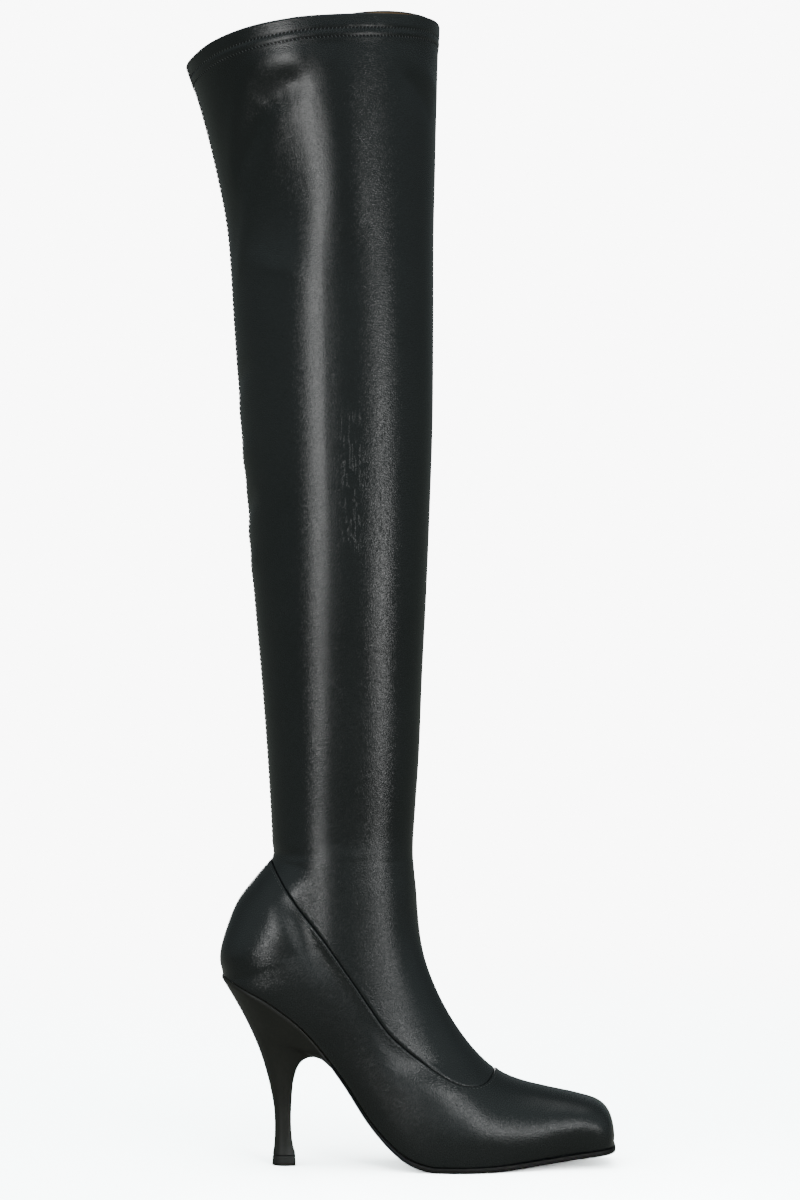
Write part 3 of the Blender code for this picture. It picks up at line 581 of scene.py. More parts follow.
def leg_sections(column, downs):
    """Section numbers for rows at the given distances below the rim, and those distances."""
    rim = rim_section(column)
    dense = np.linspace(0, 1, 700)
    at = LEG_BASE + (rim - LEG_BASE)[None, :] * dense[:, None]
    points = boot_point(at, column[None, :])
    step = np.linalg.norm(np.diff(points, axis=0), axis=2)
    run = np.vstack([np.zeros(len(column)), np.cumsum(step, axis=0)])
    length = run[-1]
    rows = np.empty((len(downs), len(column)))
    below = np.empty_like(rows)
    near = downs[downs <= HEM_ZONE].max()
    for j in range(len(column)):
        scale = (length[j] - near) / (downs.max() - near)
        below[:, j] = np.where(downs <= near, downs, near + (downs - near) * scale)
        rows[:, j] = np.interp(length[j] - below[:, j], run[:, j], at[:, j])
    return rows, below


def boot_grid(columns, foot_step, leg_step, hem_downs):
    """Section and column number and distance below the rim, for every point of the boot."""
    column = fine_columns(columns)
    foot = even_sections(0.0, LEG_BASE, column, foot_step)
    length = SHAFT_HEIGHT * LEG_RISE
    plain = np.linspace(HEM_ZONE, length, int((length - HEM_ZONE) / leg_step) + 1)
    downs = np.concatenate([hem_downs, plain[1:-1]])[::-1]
    downs = np.concatenate([[length], downs])
    leg, below = leg_sections(column, downs)
    foot_rows = np.repeat(foot[:-1, None], len(column), axis=1)
    at = np.vstack([foot_rows, leg])
    down = np.vstack([np.full(foot_rows.shape, 1.0), below])
    return at, np.broadcast_to(column, at.shape), down


def grid_normals(grid, closed_from):
    """Unit outward normals of a grid, closed round the leg from row closed_from upwards."""
    along = np.gradient(grid, axis=0)
    across = np.gradient(grid, axis=1)
    round_back = (grid[closed_from:, 1] - grid[closed_from:, -2]) / 2
    across[closed_from:, 0] = across[closed_from:, -1] = round_back
    normals = np.cross(across, along)
    along_back = along[closed_from:, 0] + along[closed_from:, -1]
    back = np.cross(round_back, along_back)
    normals[closed_from:, 0] = normals[closed_from:, -1] = back
    length = np.linalg.norm(normals, axis=2, keepdims=True)
    return normals / np.maximum(length, 1e-12)


def distance_to(points, line):
    """Distance of each point to the nearest point of a dense line."""
    flat = points.reshape(-1, 3)
    nearest = np.full(len(flat), np.inf)
    for k in range(0, len(line), 16):
        away = flat[:, None, :] - line[None, k:k + 16, :]
        nearest = np.minimum(nearest, (away**2).sum(axis=2).min(axis=1))
    return np.sqrt(nearest).reshape(points.shape[:-1])


def thicken(line, count):
    """A line with count points evenly along it."""
    step = np.linalg.norm(np.diff(line, axis=0), axis=1)
    run = np.concatenate([[0], np.cumsum(step)])
    even = np.linspace(0, run[-1], count)
    return np.stack([np.interp(even, run, line[:, k]) for k in range(3)], axis=1)


def clear_start():
    """Removes what the empty file brings, apart from the frame."""
    kept = set(frame["nodes"].values()) | set(frame["bodies"].values())
    for old in list(bpy.data.objects):
        if old not in kept:
            bpy.data.objects.remove(old)


def new_object(name, data):
    made = bpy.data.objects.new(name, data)
    bpy.context.scene.collection.objects.link(made)
    return made


def add_mesh(name, points, faces, materials, sharp=40):
    mesh = bpy.data.meshes.new(name)
    mesh.from_pydata([tuple(map(float, p)) for p in points], [], faces)
    made = new_object(name, mesh)
    for finish in materials:
        mesh.materials.append(finish)
    mesh.shade_smooth()
    if sharp:
        mesh.set_sharp_from_angle(angle=math.radians(sharp))
    return made


def add_values(made, name, values):
    """A number for every vertex, which the materials read by name."""
    layer = made.data.attributes.new(name, "FLOAT", "POINT")
    layer.data.foreach_set("value", np.asarray(values, np.float32).ravel())


def grid_faces(rows, columns):
    faces = []
    for i in range(rows - 1):
        for j in range(columns - 1):
            a = i * columns + j
            faces.append((a, a + 1, a + columns + 1, a + columns))
    return faces


def rework(made, change):
    """Runs one change on the mesh of an object."""
    work = bmesh.new()
    work.from_mesh(made.data)
    change(work)
    work.to_mesh(made.data)
    work.free()


def merge_close(made):
    rework(made, lambda work: bmesh.ops.remove_doubles(work, verts=work.verts, dist=SAME_PLACE))


def point_outwards(made):
    rework(made, lambda work: bmesh.ops.recalc_face_normals(work, faces=work.faces))


def fold_depth(turn, height):
    """Height of the leg's folds over its plain surface, in metres."""
    total = np.zeros(np.broadcast(turn, height).shape)
    around = THIGH_DEPTH * FOLD_AROUND
    scale = np.array([around, SHAFT_HEIGHT])
    for _, start, end, bow, width, depth in FOLDS:
        line = np.linspace(0, 1, FOLD_POINTS)[:, None]
        a, b = np.array(start) * scale, np.array(end) * scale
        side = np.array([-(b - a)[1], (b - a)[0]])
        side = side / np.linalg.norm(side)
        path = a + (b - a) * line + side * bow * 4 * line * (1 - line)
        reach = FOLD_REACH * width
        low, high = path.min(axis=0) - reach, path.max(axis=0) + reach
        middle = (low[0] + high[0]) / 2
        across = (turn * around - middle + around) % (2 * around) - around + middle
        up = height * SHAFT_HEIGHT
        close = (across > low[0]) & (across < high[0]) & (up > low[1]) & (up < high[1])
        if not close.any():
            continue
        gap = (across[close][:, None] - path[:, 0])**2 + (up[close][:, None] - path[:, 1])**2
        share = gap.argmin(axis=1) / (FOLD_POINTS - 1)
        taper = np.sin(math.pi * np.clip(share, 0.02, 0.98)) ** 0.6
        total[close] += depth * taper * np.exp(-gap.min(axis=1) / (2 * (width / 2) ** 2))
    return total


def node(tree, kind, entries=None, **settings):
    """One node. entries: what goes into its inputs, plain values or outputs of other nodes."""
    made = tree.nodes.new(kind)
    for name, value in settings.items():
        setattr(made, name, value)
    for name, value in (entries or {}).items():
        if isinstance(value, bpy.types.NodeSocket):
            tree.links.new(value, made.inputs[name])
        else:
            made.inputs[name].default_value = value
    return made


def math_node(tree, operation, first, second=None, clamp=False):
    entries = {0: first} if second is None else {0: first, 1: second}
    return node(tree, "ShaderNodeMath", entries, operation=operation, use_clamp=clamp).outputs[0]


def range_node(tree, value, low, high, to_low, to_high):
    entries = {"Value": value, "From Min": low, "From Max": high, "To Min": to_low, "To Max": to_high}
    made = node(tree, "ShaderNodeMapRange", entries, interpolation_type="SMOOTHSTEP")
    return made.outputs["Result"]


def noise_node(tree, place, scale, detail, rough):
    entries = {"Vector": place, "Scale": scale, "Detail": detail, "Roughness": rough}
    return node(tree, "ShaderNodeTexNoise", entries).outputs["Fac"]


def mix_colour(tree, share, first, second):
    mix = node(tree, "ShaderNodeMix", data_type="RGBA")
    sockets = [socket for socket in mix.inputs if socket.enabled]
    tree.links.new(share, sockets[0])
    sockets[1].default_value = (*first, 1.0)
    sockets[2].default_value = (*second, 1.0)
    return next(socket for socket in mix.outputs if socket.enabled)


def new_group(name, kind, inputs, outputs):
    """A node group with its inputs and outputs, and the sockets that they are inside it."""
    tree = bpy.data.node_groups.new(name, kind)
    for label, socket_type, value in inputs:
        socket = tree.interface.new_socket(label, in_out="INPUT", socket_type=socket_type)
        if value is not None:
            socket.default_value = value
    for label, socket_type in outputs:
        tree.interface.new_socket(label, in_out="OUTPUT", socket_type=socket_type)
    source = tree.nodes.new("NodeGroupInput")
    sink = tree.nodes.new("NodeGroupOutput")
    return tree, source.outputs, sink.inputs


def pebble_grain_group():
    """Pebbled leather grain: rounded cells with fine creases between them."""
    tree, source, sink = new_group(
        "pebble grain", "ShaderNodeTree",
        [("Place", "NodeSocketVector", None), ("Size", "NodeSocketFloat", 1000.0),
         ("Wander", "NodeSocketFloat", 0.3)],
        [("Height", "NodeSocketFloat"), ("Crease", "NodeSocketFloat")],
    )
    place, size, wander = source["Place"], source["Size"], source["Wander"]
    wide = math_node(tree, "MULTIPLY", size, 0.6)
    bend = node(tree, "ShaderNodeTexNoise", {"Vector": place, "Scale": wide, "Detail": 2.0})
    scaled = node(tree, "ShaderNodeVectorMath", {0: place, "Scale": size}, operation="SCALE")
    joined = node(tree, "ShaderNodeCombineXYZ", {0: wander, 1: wander, 2: wander})
    bent = {0: bend.outputs["Color"], 1: joined.outputs[0], 2: scaled.outputs[0]}
    pushed = node(tree, "ShaderNodeVectorMath", bent, operation="MULTIPLY_ADD").outputs[0]
    cells = node(tree, "ShaderNodeTexVoronoi", {"Scale": 1.0, "Vector": pushed},
                 feature="DISTANCE_TO_EDGE")
    dome = range_node(tree, cells.outputs["Distance"], 0.0, 0.38, 0.0, 1.0)
    crease = range_node(tree, cells.outputs["Distance"], 0.0, 0.10, 1.0, 0.0)
    fine = node(tree, "ShaderNodeTexNoise", {"Vector": pushed, "Scale": 2.6, "Detail": 2.0})
    speck = math_node(tree, "MULTIPLY", fine.outputs["Fac"], 0.35)
    tree.links.new(math_node(tree, "ADD", dome, speck), sink["Height"])
    tree.links.new(crease, sink["Crease"])
    return tree


def bump_node(tree, height, strength, distance, before=None):
    entries = {"Strength": strength, "Distance": distance, "Height": height}
    if before is not None:
        entries["Normal"] = before
    return node(tree, "ShaderNodeBump", entries).outputs["Normal"]


def new_material(name):
    finish = bpy.data.materials.new(name)
    finish.use_nodes = True
    tree = finish.node_tree
    place = node(tree, "ShaderNodeTexCoord").outputs["Object"]
    return finish, tree, tree.nodes["Principled BSDF"], place


def attribute_node(tree, name):
    return node(tree, "ShaderNodeAttribute", attribute_name=name).outputs["Fac"]


def grain_leather(grain, name, colour, tint, roughness, size, depth, leg):
    """Black grain leather: slow change of tone, pebbled bump, creases a little rougher.
    The leg's has the sunk line of its back seam and the fine cracks of its coating too."""
    finish, tree, shader, place = new_material(name)
    pebbles = node(tree, "ShaderNodeGroup", node_tree=grain)
    pebbles.inputs["Size"].default_value = size
    pebbles.inputs["Wander"].default_value = 0.9
    tree.links.new(place, pebbles.inputs["Place"])
    slow = noise_node(tree, place, 14.0, 4.0, 0.55)
    cloud = range_node(tree, slow, 0.35, 0.65, 0.0, 1.0)
    base = mix_colour(tree, cloud, colour, tint)
    tree.links.new(base, shader.inputs["Base Color"])
    low, high = roughness
    patch = noise_node(tree, place, 60.0, 3.0, 0.6)
    rough = range_node(tree, patch, 0.3, 0.7, low, high)
    worn = math_node(tree, "MULTIPLY", pebbles.outputs["Crease"], 0.12)
    tree.links.new(math_node(tree, "ADD", rough, worn, clamp=True), shader.inputs["Roughness"])
    soft = noise_node(tree, place, 220.0, 3.0, 0.5)
    normal = bump_node(tree, soft, 0.5, 0.00008)
    if leg:
        off = math_node(tree, "ABSOLUTE", attribute_node(tree, "back_off"))
        line = range_node(tree, off, 0.0001, 0.0009, -1.0, 0.0)
        line = math_node(tree, "MULTIPLY", line, attribute_node(tree, "back_near"))
        normal = bump_node(tree, line, 1.0, 0.0004, normal)
        stretched = {"Vector": place, "Scale": (1.0, 1.0, 0.13)}
        upright = node(tree, "ShaderNodeMapping", stretched).outputs["Vector"]
        cracks = noise_node(tree, upright, 620.0, 2.0, 0.5)
        cracks = range_node(tree, cracks, 0.56, 0.64, 0.0, -1.0)
        cracks = math_node(tree, "MULTIPLY", cracks, attribute_node(tree, "crackle"))
        normal = bump_node(tree, cracks, 1.0, 0.00012, normal)
    normal = bump_node(tree, pebbles.outputs["Height"], 1.0, depth, normal)
    tree.links.new(normal, shader.inputs["Normal"])
    return finish


def plain_finish(name, colour, tint, roughness, bump_scale, bump_depth, sheen):
    """Smooth cover, rubber, thread or board, with a faint mottle and fine bump."""
    finish, tree, shader, place = new_material(name)
    shader.inputs["Specular IOR Level"].default_value = sheen
    cloud = noise_node(tree, place, 40.0, 4.0, 0.6)
    base = mix_colour(tree, range_node(tree, cloud, 0.35, 0.65, 0.0, 1.0), colour, tint)
    tree.links.new(base, shader.inputs["Base Color"])
    low, high = roughness
    patch = noise_node(tree, place, 120.0, 3.0, 0.6)
    tree.links.new(range_node(tree, patch, 0.3, 0.7, low, high), shader.inputs["Roughness"])
    fine = noise_node(tree, place, bump_scale, 3.0, 0.55)
    tree.links.new(bump_node(tree, fine, 0.6, bump_depth), shader.inputs["Normal"])
    return finish


LEATHERS = (
    # name, colour, tint, roughness, grain size, grain depth, whether it is the leg's
    ("black grain leather", (0.0070, 0.0085, 0.0090), (0.0095, 0.0115, 0.0120), (0.17, 0.20),
     900.0, 0.00004, False),
    ("black stretch leather", (0.0075, 0.0092, 0.0098), (0.0100, 0.0120, 0.0126), (0.16, 0.19),
     900.0, 0.00004, True),
)
PLAIN_FINISHES = (
    # name, colour, tint, roughness, bump size, bump depth, sheen
    ("tan lining", (0.30, 0.17, 0.08), (0.38, 0.23, 0.12), (0.7, 0.85), 1500.0, 0.0001, 0.5),
    ("black sole", (0.004, 0.004, 0.004), (0.007, 0.0065, 0.006), (0.45, 0.55), 900.0, 0.00005, 0.3),
    ("black heel cover", (0.0125, 0.0125, 0.0105), (0.0155, 0.0155, 0.013), (0.42, 0.5),
     1100.0, 0.00006, 0.4),
    ("black heel tip", (0.009, 0.009, 0.009), (0.012, 0.012, 0.011), (0.5, 0.6), 900.0, 0.00006, 0.5),
    ("black thread", (0.040, 0.044, 0.044), (0.060, 0.064, 0.064), (0.3, 0.4), 2500.0, 0.00002, 0.5),
    # needle hole: near-black and rough, painted shade standing for the dark inside of the holes
    ("needle hole painted shade", (0.001, 0.001, 0.001), (0.002, 0.002, 0.002), (0.9, 1.0), 900.0, 0.00002, 0.5),
)


def finishes():
    """Every material, by its name."""
    grain = pebble_grain_group()
    made = [grain_leather(grain, *row) for row in LEATHERS]
    made += [plain_finish(*row) for row in PLAIN_FINISHES]
    return {finish.name: finish for finish in made}


def seam_loop(at, column, over):
    """The seam as an even closed loop of points, chained from where it crosses the grid."""
    joins = {}
    place = {}
    rows, columns = np.nonzero(np.diff(np.sign(over), axis=0) != 0)
    cells = set()
    for i, j in zip(rows, columns):
        cells.update({(i, j - 1), (i, j)})
    rows, columns = np.nonzero(np.diff(np.sign(over), axis=1) != 0)
    for i, j in zip(rows, columns):
        cells.update({(i - 1, j), (i, j)})
    for i, j in cells:
        if not (0 <= i < over.shape[0] - 1 and 0 <= j < over.shape[1] - 1):
            continue
        corners = [(i, j), (i, j + 1), (i + 1, j + 1), (i + 1, j)]
        found = []
        for k in range(4):
            first, second = sorted((corners[k], corners[(k + 1) % 4]))
            low, high = over[first], over[second]
            if (low < 0) != (high < 0):
                share = low / (low - high)
                found.append((first, second))
                place[(first, second)] = (
                    at[first] + share * (at[second] - at[first]),
                    column[first] + share * (column[second] - column[first]),
                )
        if len(found) == 2:
            joins.setdefault(found[0], []).append(found[1])
            joins.setdefault(found[1], []).append(found[0])
    start = min(joins, key=lambda key: place[key][1])
    chain = [start]
    before = None
    while True:
        onward = [key for key in joins[chain[-1]] if key != before]
        if not onward or onward[0] == start:
            break
        before = chain[-1]
        chain.append(onward[0])
    points = np.array([place[key] for key in chain])
    return thicken(boot_point(points[:, 0], points[:, 1]), SEAM_POINTS)


def split_faces(faces, values, level, knots):
    """Splits the faces that cross a level of the last value, and adds the knots there."""
    made = {}
    kept = []
    grown = [list(row) for row in knots]
    field = list(values)
    for face in faces:
        sides = [bool(field[v] > level) for v in face]
        if all(sides) or not any(sides):
            kept.append(face)
            continue
        loops = ([], [])
        for k, v in enumerate(face):
            n = face[(k + 1) % len(face)]
            loops[sides[k]].append(v)
            if sides[k] != sides[(k + 1) % len(face)]:
                key = (min(v, n), max(v, n))
                if key not in made:
                    a, b = key
                    share = (level - field[a]) / (field[b] - field[a])
                    made[key] = len(grown)
                    grown.append([x + share * (y - x) for x, y in zip(grown[a], grown[b])])
                    field.append(level)
                loops[0].append(made[key])
                loops[1].append(made[key])
        kept += [loop for loop in loops if len(loop) > 2]
    return kept, np.array(field), grown


def boot_skin(columns, foot_step, leg_step, hem_downs, levels):
    """The whole outer skin: knots with all their values, faces, and the seam's loop.
    Each knot holds section, column, distance below the rim, normal, and distance from the seam."""
    at, column, down = boot_grid(columns, foot_step, leg_step, hem_downs)
    points = boot_point(at, column)
    closed = int(np.argmax(at[:, 0] >= SEAT_BACK_SECTION))
    normals = grid_normals(points, closed)
    over = over_seam(points)
    low = int(np.argmax(at[:, 0] >= LEG_BASE))
    loop = seam_loop(at, column, over)
    off = np.full(at.shape, FAR_FROM_SEAM)
    off[:low] = distance_to(points[:low], loop) * np.sign(over[:low])
    knots = np.concatenate(
        [at[..., None], column[..., None], down[..., None], normals, off[..., None]], axis=2
    ).reshape(-1, 7)
    faces = grid_faces(*at.shape)
    field = knots[:, 6]
    for level in levels:
        faces, field, knots = split_faces(faces, field, level, knots)
    return np.array(knots), faces, loop


def part_of(faces, knots, leg):
    """The faces on one side of the seam, with the knots that they use."""
    inside = []
    for face in faces:
        middle = sum(knots[v, 6] for v in face) / len(face)
        if (middle > 0) == leg:
            inside.append(face)
    used = sorted({v for face in inside for v in face})
    number = {v: k for k, v in enumerate(used)}
    return knots[used], [[number[v] for v in face] for face in inside]


def edge_strip(faces, tests):
    """The boundary edges of some faces whose ends both pass the test, in face order."""
    seen = {}
    for face in faces:
        for k, v in enumerate(face):
            n = face[(k + 1) % len(face)]
            seen[(v, n)] = True
    return [(v, n) for v, n in seen if (n, v) not in seen and tests[v] and tests[n]]


def unit(vectors):
    return vectors / np.maximum(np.linalg.norm(vectors, axis=-1, keepdims=True), 1e-9)


def skin_mesh(name, knots, faces, lift, strips, lining_knots, lining_faces, depth, materials, values):
    """A skin lifted off the plain surface, with turned edges and a lining behind it."""
    plain = boot_point(knots[:, 0], knots[:, 1])
    normals = unit(knots[:, 3:6])
    points = [plain + normals * lift[:, None]]
    faces = [list(face) for face in faces]
    values = {label: [number] for label, number in values.items()}
    count = len(knots)
    for edges, offsets in strips:
        ends = sorted({v for edge in edges for v in edge})
        number = {v: k for k, v in enumerate(ends)}
        before = ends
        for offset in offsets:
            row = points[0][ends] + offset(ends, normals)
            points.append(row)
            for label in values:
                values[label].append(values[label][0][ends])
            now = [count + k for k in range(len(ends))]
            for v, n in edges:
                faces.append([before[number[n]], before[number[v]], now[number[v]], now[number[n]]])
            before = now
            count += len(ends)
    black = len(faces)
    lined = boot_point(lining_knots[:, 0], lining_knots[:, 1])
    lined = lined - unit(lining_knots[:, 3:6]) * depth[:, None]
    points.append(lined)
    for label in values:
        values[label].append(np.full(len(lined), values[label][0].max()))
    faces += [[count + v for v in face[::-1]] for face in lining_faces]
    made = add_mesh(name, np.vstack(points), faces, materials, sharp=0)
    slots = np.zeros(len(faces), np.int32)
    slots[black:] = 1
    made.data.polygons.foreach_set("material_index", slots)
    for label, rows in values.items():
        add_values(made, label, np.concatenate(rows))
    merge_close(made)
    return made


def stitch_group():
    """A row of short rounded stitches laid along a line, turned out of the surface."""
    inputs = [("Line", "NodeSocketGeometry", None)]
    inputs += [(label, "NodeSocketFloat", None) for label in STITCH_SIZES]
    inputs += [("Thread", "NodeSocketMaterial", None)]
    tree, source, sink = new_group(
        "stitch row", "GeometryNodeTree", inputs, [("Stitches", "NodeSocketGeometry")])

    def add(kind, entries=None, **settings):
        return node(tree, kind, entries, **settings).outputs[0]

    curve = add("GeometryNodeMeshToCurve", {"Mesh": source["Line"]})
    even = add("GeometryNodeResampleCurve", {"Curve": curve, "Length": source["Spacing"]},
               mode="LENGTH")
    bead = add("GeometryNodeMeshUVSphere", {"Segments": 6, "Rings": 5, "Radius": 0.5})
    size = add("ShaderNodeCombineXYZ",
               {"X": source["Length"], "Y": source["Width"], "Z": source["Height"]})
    shaped = add("GeometryNodeTransform", {"Geometry": bead, "Scale": size})
    outward = add("GeometryNodeInputNamedAttribute", {"Name": "outward"}, data_type="FLOAT_VECTOR")
    stand = add("FunctionNodeAlignRotationToVector", {"Vector": outward}, axis="Z")
    tangent = add("GeometryNodeInputTangent")
    along = add("FunctionNodeAlignRotationToVector", {"Rotation": stand, "Vector": tangent},
                axis="X", pivot_axis="Z")
    turn = add("FunctionNodeAxisAngleToRotation",
               {"Axis": (0.0, 0.0, 1.0), "Angle": source["Tilt"]})
    lean = add("FunctionNodeRotateRotation", {"Rotation": along, "Rotate By": turn},
               rotation_space="LOCAL")
    pushed = add("ShaderNodeVectorMath", {0: tangent, "Scale": source["Shift"]}, operation="SCALE")
    moved = add("GeometryNodeSetPosition", {"Geometry": even, "Offset": pushed})
    beads = add("GeometryNodeInstanceOnPoints",
                {"Points": moved, "Instance": shaped, "Rotation": lean})
    real = add("GeometryNodeRealizeInstances", {"Geometry": beads})
    cover = add("GeometryNodeSetMaterial", {"Geometry": real, "Material": source["Thread"]})
    tree.links.new(cover, sink["Stitches"])
    return tree


def stitch_row(name, group, points, normals, closed, sizes, thread):
    """One row of stitches as a plain mesh. sizes: one for each of STITCH_SIZES."""
    mesh = bpy.data.meshes.new(name)
    last = len(points) if closed else len(points) - 1
    edges = [(k, (k + 1) % len(points)) for k in range(last)]
    mesh.from_pydata(points.tolist(), edges, [])
    outward = mesh.attributes.new("outward", "FLOAT_VECTOR", "POINT")
    outward.data.foreach_set("vector", np.ascontiguousarray(normals, np.float32).ravel())
    made = new_object(name, mesh)
    row = made.modifiers.new("stitches", "NODES")
    row.node_group = group
    sockets = {item.name: item.identifier for item in group.interface.items_tree
               if item.in_out == "INPUT"}
    for label, value in zip(STITCH_SIZES, sizes):
        row[sockets[label]] = value
    row[sockets["Thread"]] = thread
    settled = made.evaluated_get(bpy.context.evaluated_depsgraph_get())
    plain = bpy.data.meshes.new_from_object(settled)
    made.modifiers.clear()
    made.data = plain
    plain.polygons.foreach_set("use_smooth", np.ones(len(plain.polygons), bool))
    return made


def skin_normals(points, skin):
    """Outward directions at some points, from the skin's nearest knots."""
    knots = skin[0]
    places = boot_point(knots[:, 0], knots[:, 1])
    found = []
    for point in points:
        found.append(np.argmin(((places - point) ** 2).sum(axis=1)))
    rows = unit(knots[found, 3:6])
    smoothed = rows + np.roll(rows, 1, axis=0) + np.roll(rows, -1, axis=0)
    return unit(smoothed)


def hem_stitches(skin, group, thread, hole_shade):
    """Two rows round the collar, leaning against each other, each stitch with a near-black oval of
    painted shade for its needle hole.
    """
    made = []
    column = fine_columns(HEM_ROW_COLUMNS)[:-1]
    sections = leg_sections(column, np.array((0.0,) + HEM_ROWS + (HEM_ZONE, 2 * HEM_ZONE)))[0]
    for k, down in enumerate(HEM_ROWS):
        at = sections[1 + k]
        points = boot_point(at, column)
        normals = skin_normals(points, skin)
        height = (points[:, 2] - THROAT_Z) / SHAFT_HEIGHT
        lift = fold_depth(column / COLUMNS, height) + hem_lift(down)
        lean = -1.0 if k else 1.0
        # Besides the thread, each stitch gets a near-black oval: painted shade in its needle hole.
        for label, sizes, finish, sink in (("stitches", HEM_STITCH, thread, HEM_STITCH_SINK),
                                           ("hole_shades", HEM_HOLE_SHADE, hole_shade, 0.0)):
            row = points + normals * (lift - sink)[:, None]
            name = "hem_%s_%d" % (label, k + 1)
            turned = sizes[:5] + (sizes[5] * lean,)
            made.append(stitch_row(name, group, row, normals, True, turned, finish))
    return made


def back_stitches(skin, group, thread):
    """A row each side of the back seam, from the foot's top edge to the collar."""
    made = []
    rim = float(rim_section(np.array([COLUMNS - 0.6]))[0])
    at = np.linspace(BACK_ROW_START, rim - 0.02, BACK_ROW_POINTS)
    height = leg_height(np.stack([at, np.full(BACK_ROW_POINTS, COLUMNS - 0.1)], axis=1))
    middle = -back_seam_turn(height) * COLUMNS
    centre = boot_point(at, wrap(middle))
    for label, side in (("inner", -1), ("outer", 1)):
        half_column = np.linalg.norm(boot_point(at, wrap(middle + 0.5 * side)) - centre, axis=1)
        column = wrap(middle + side * 0.5 * BACK_ROW_SETOFF / half_column)
        points = boot_point(at, column)
        normals = skin_normals(points, skin)
        lift = fold_depth(column / COLUMNS, height)
        rim_here = rim_section(column)
        down = (rim_here - at) / (rim_here - LEG_BASE) * SHAFT_HEIGHT * LEG_RISE
        row = points + normals * (lift + hem_step(down))[:, None]
        name = "back_seam_stitches_" + label
        made.append(stitch_row(name, group, row, normals, False, BACK_STITCH, thread))
    return made


def seam_stitches(skin, group, thread):
    """A fine row just inside the top edge of the foot."""
    loop = skin[2][::2]
    normals = skin_normals(loop, skin)
    ahead = unit(np.roll(loop, -1, axis=0) - np.roll(loop, 1, axis=0))
    sideways = np.cross(ahead, normals)
    down = sideways * -np.sign(sideways[:, 2:3].mean())
    row = loop + down * SEAM_ROW_SETOFF + normals * SEAM_ROW_LIFT
    return stitch_row("top_line_stitches", group, row, normals, True, SEAM_STITCH, thread)


def upper(skin, lining_skin, leather, lining):
    knots, faces = part_of(skin[1], skin[0], False)
    inner_knots, inner_faces = part_of(lining_skin[1], lining_skin[0], False)
    away = -knots[:, 6]
    lift = np.interp(away, *np.transpose(FOOT_EDGE))
    at_seam = away < 1e-6
    feather = (knots[:, 0] < 1e-6) | (
        (np.abs(knots[:, 1]) > COLUMNS - 1e-6) & (knots[:, 0] < SEAT_BACK_SECTION + 1e-6))

    def inward(ends, normals):
        return -normals[ends] * EDGE_TURN_IN

    def under(depth, drop):
        def offset(ends, normals):
            return -unit(normals[ends] * [1, 1, 0]) * depth - np.array([0.0, 0.0, drop])
        return offset

    strips = [
        (edge_strip(faces, at_seam), [inward]),
        (edge_strip(faces, feather), [under(*edge) for edge in UNDER_EDGE]),
    ]
    return skin_mesh(
        "upper_leather", knots, faces, lift, strips, inner_knots, inner_faces,
        np.full(len(inner_knots), UPPER_WALL), [leather, lining], {})


def hem_step(down):
    """How far the folded hem stands proud of the leg, at distances below the rim."""
    above, below = HEM_STEP_FADE
    return HEM_STEP * (1 - ease(down, HEM_ROWS[1] - above, HEM_ROWS[1] + below))


def hem_lift(down):
    """The folded hem stands a little proud, and its two needle rows sink in."""
    lift = hem_step(down)
    for row in HEM_ROWS:
        lift = lift - ROW_SINK * np.exp(-(((down - row) / ROW_HALF_WIDTH) ** 2))
    return lift


def leg_height(knots):
    """Share of the way from the throat to the collar."""
    return (boot_point(knots[:, 0], knots[:, 1])[:, 2] - THROAT_Z) / SHAFT_HEIGHT


def back_seam_turn(height):
    return np.interp(height, *np.transpose(BACK_SEAM))


def back_seam_off(knots):
    """Distance round the leg from the back seam, and 1 near the seam fading to 0."""
    turn = -back_seam_turn(leg_height(knots))
    column = np.array([COLUMNS - 1.0, COLUMNS])
    section = np.arange(SEAT_BACK_SECTION, COLLAR_SECTION)
    ends = boot_point(section[:, None] + 0.0 * column, column + 0.0 * section[:, None])
    pitch = np.linalg.norm(ends[:, 1] - ends[:, 0], axis=1)
    pitch = np.interp(knots[:, 0], section, pitch) * COLUMNS
    off = ((knots[:, 1] / COLUMNS - turn + 1) % 2 - 1) * pitch
    return off, 1 - ease(np.abs(off), *BACK_LINE_FADE)


def crackle_zone(turn, height):
    """1 where the coating has its cracks, fading to 0 round them."""
    zone = 1.0
    for value, (low, high), fade in zip((turn, height), (CRACKLE_TURN, CRACKLE_HEIGHT), CRACKLE_FADE):
        zone = zone * ease(value, low - fade, low)
        zone = zone * (1 - ease(value, high, high + fade))
    return zone


def shaft(skin, lining_skin, leather, lining):
    knots, faces = part_of(skin[1], skin[0], True)
    inner_knots, inner_faces = part_of(lining_skin[1], lining_skin[0], True)
    away, down = knots[:, 6], knots[:, 2]
    turn, height = knots[:, 1] / COLUMNS, leg_height(knots)
    lift = fold_depth(turn, height) + hem_lift(down)
    lift = lift + np.interp(away, *np.transpose(LEG_EDGE))
    inner_fold = fold_depth(inner_knots[:, 1] / COLUMNS, leg_height(inner_knots))
    back_off, back_near = back_seam_off(knots)
    at_seam = away < 1e-6
    at_rim = down < 1e-6
    thickness = SHAFT_WALL + HEM_STEP

    def crown(angle):
        def offset(ends, normals):
            level = unit(normals[ends] * [1, 1, 0])
            out = thickness / 2 * (math.cos(angle) - 1)
            rise = thickness / 2 * math.sin(angle)
            return level * out + np.array([0.0, 0.0, rise])
        return offset

    def inward(ends, normals):
        return -normals[ends] * EDGE_TURN_IN

    rim_turn = np.linspace(0, math.pi, RIM_STEPS)[1:]
    strips = [
        (edge_strip(faces, at_seam), [inward]),
        (edge_strip(faces, at_rim), [crown(angle) for angle in rim_turn]),
    ]
    return skin_mesh(
        "shaft_leather", knots, faces, lift, strips, inner_knots, inner_faces,
        SHAFT_WALL - inner_fold, [leather, lining],
        {"back_off": back_off, "back_near": back_near, "crackle": crackle_zone(turn, height)})


def side_line(side, x):
    return np.stack([x, side * outline_half(side, x)], axis=1)


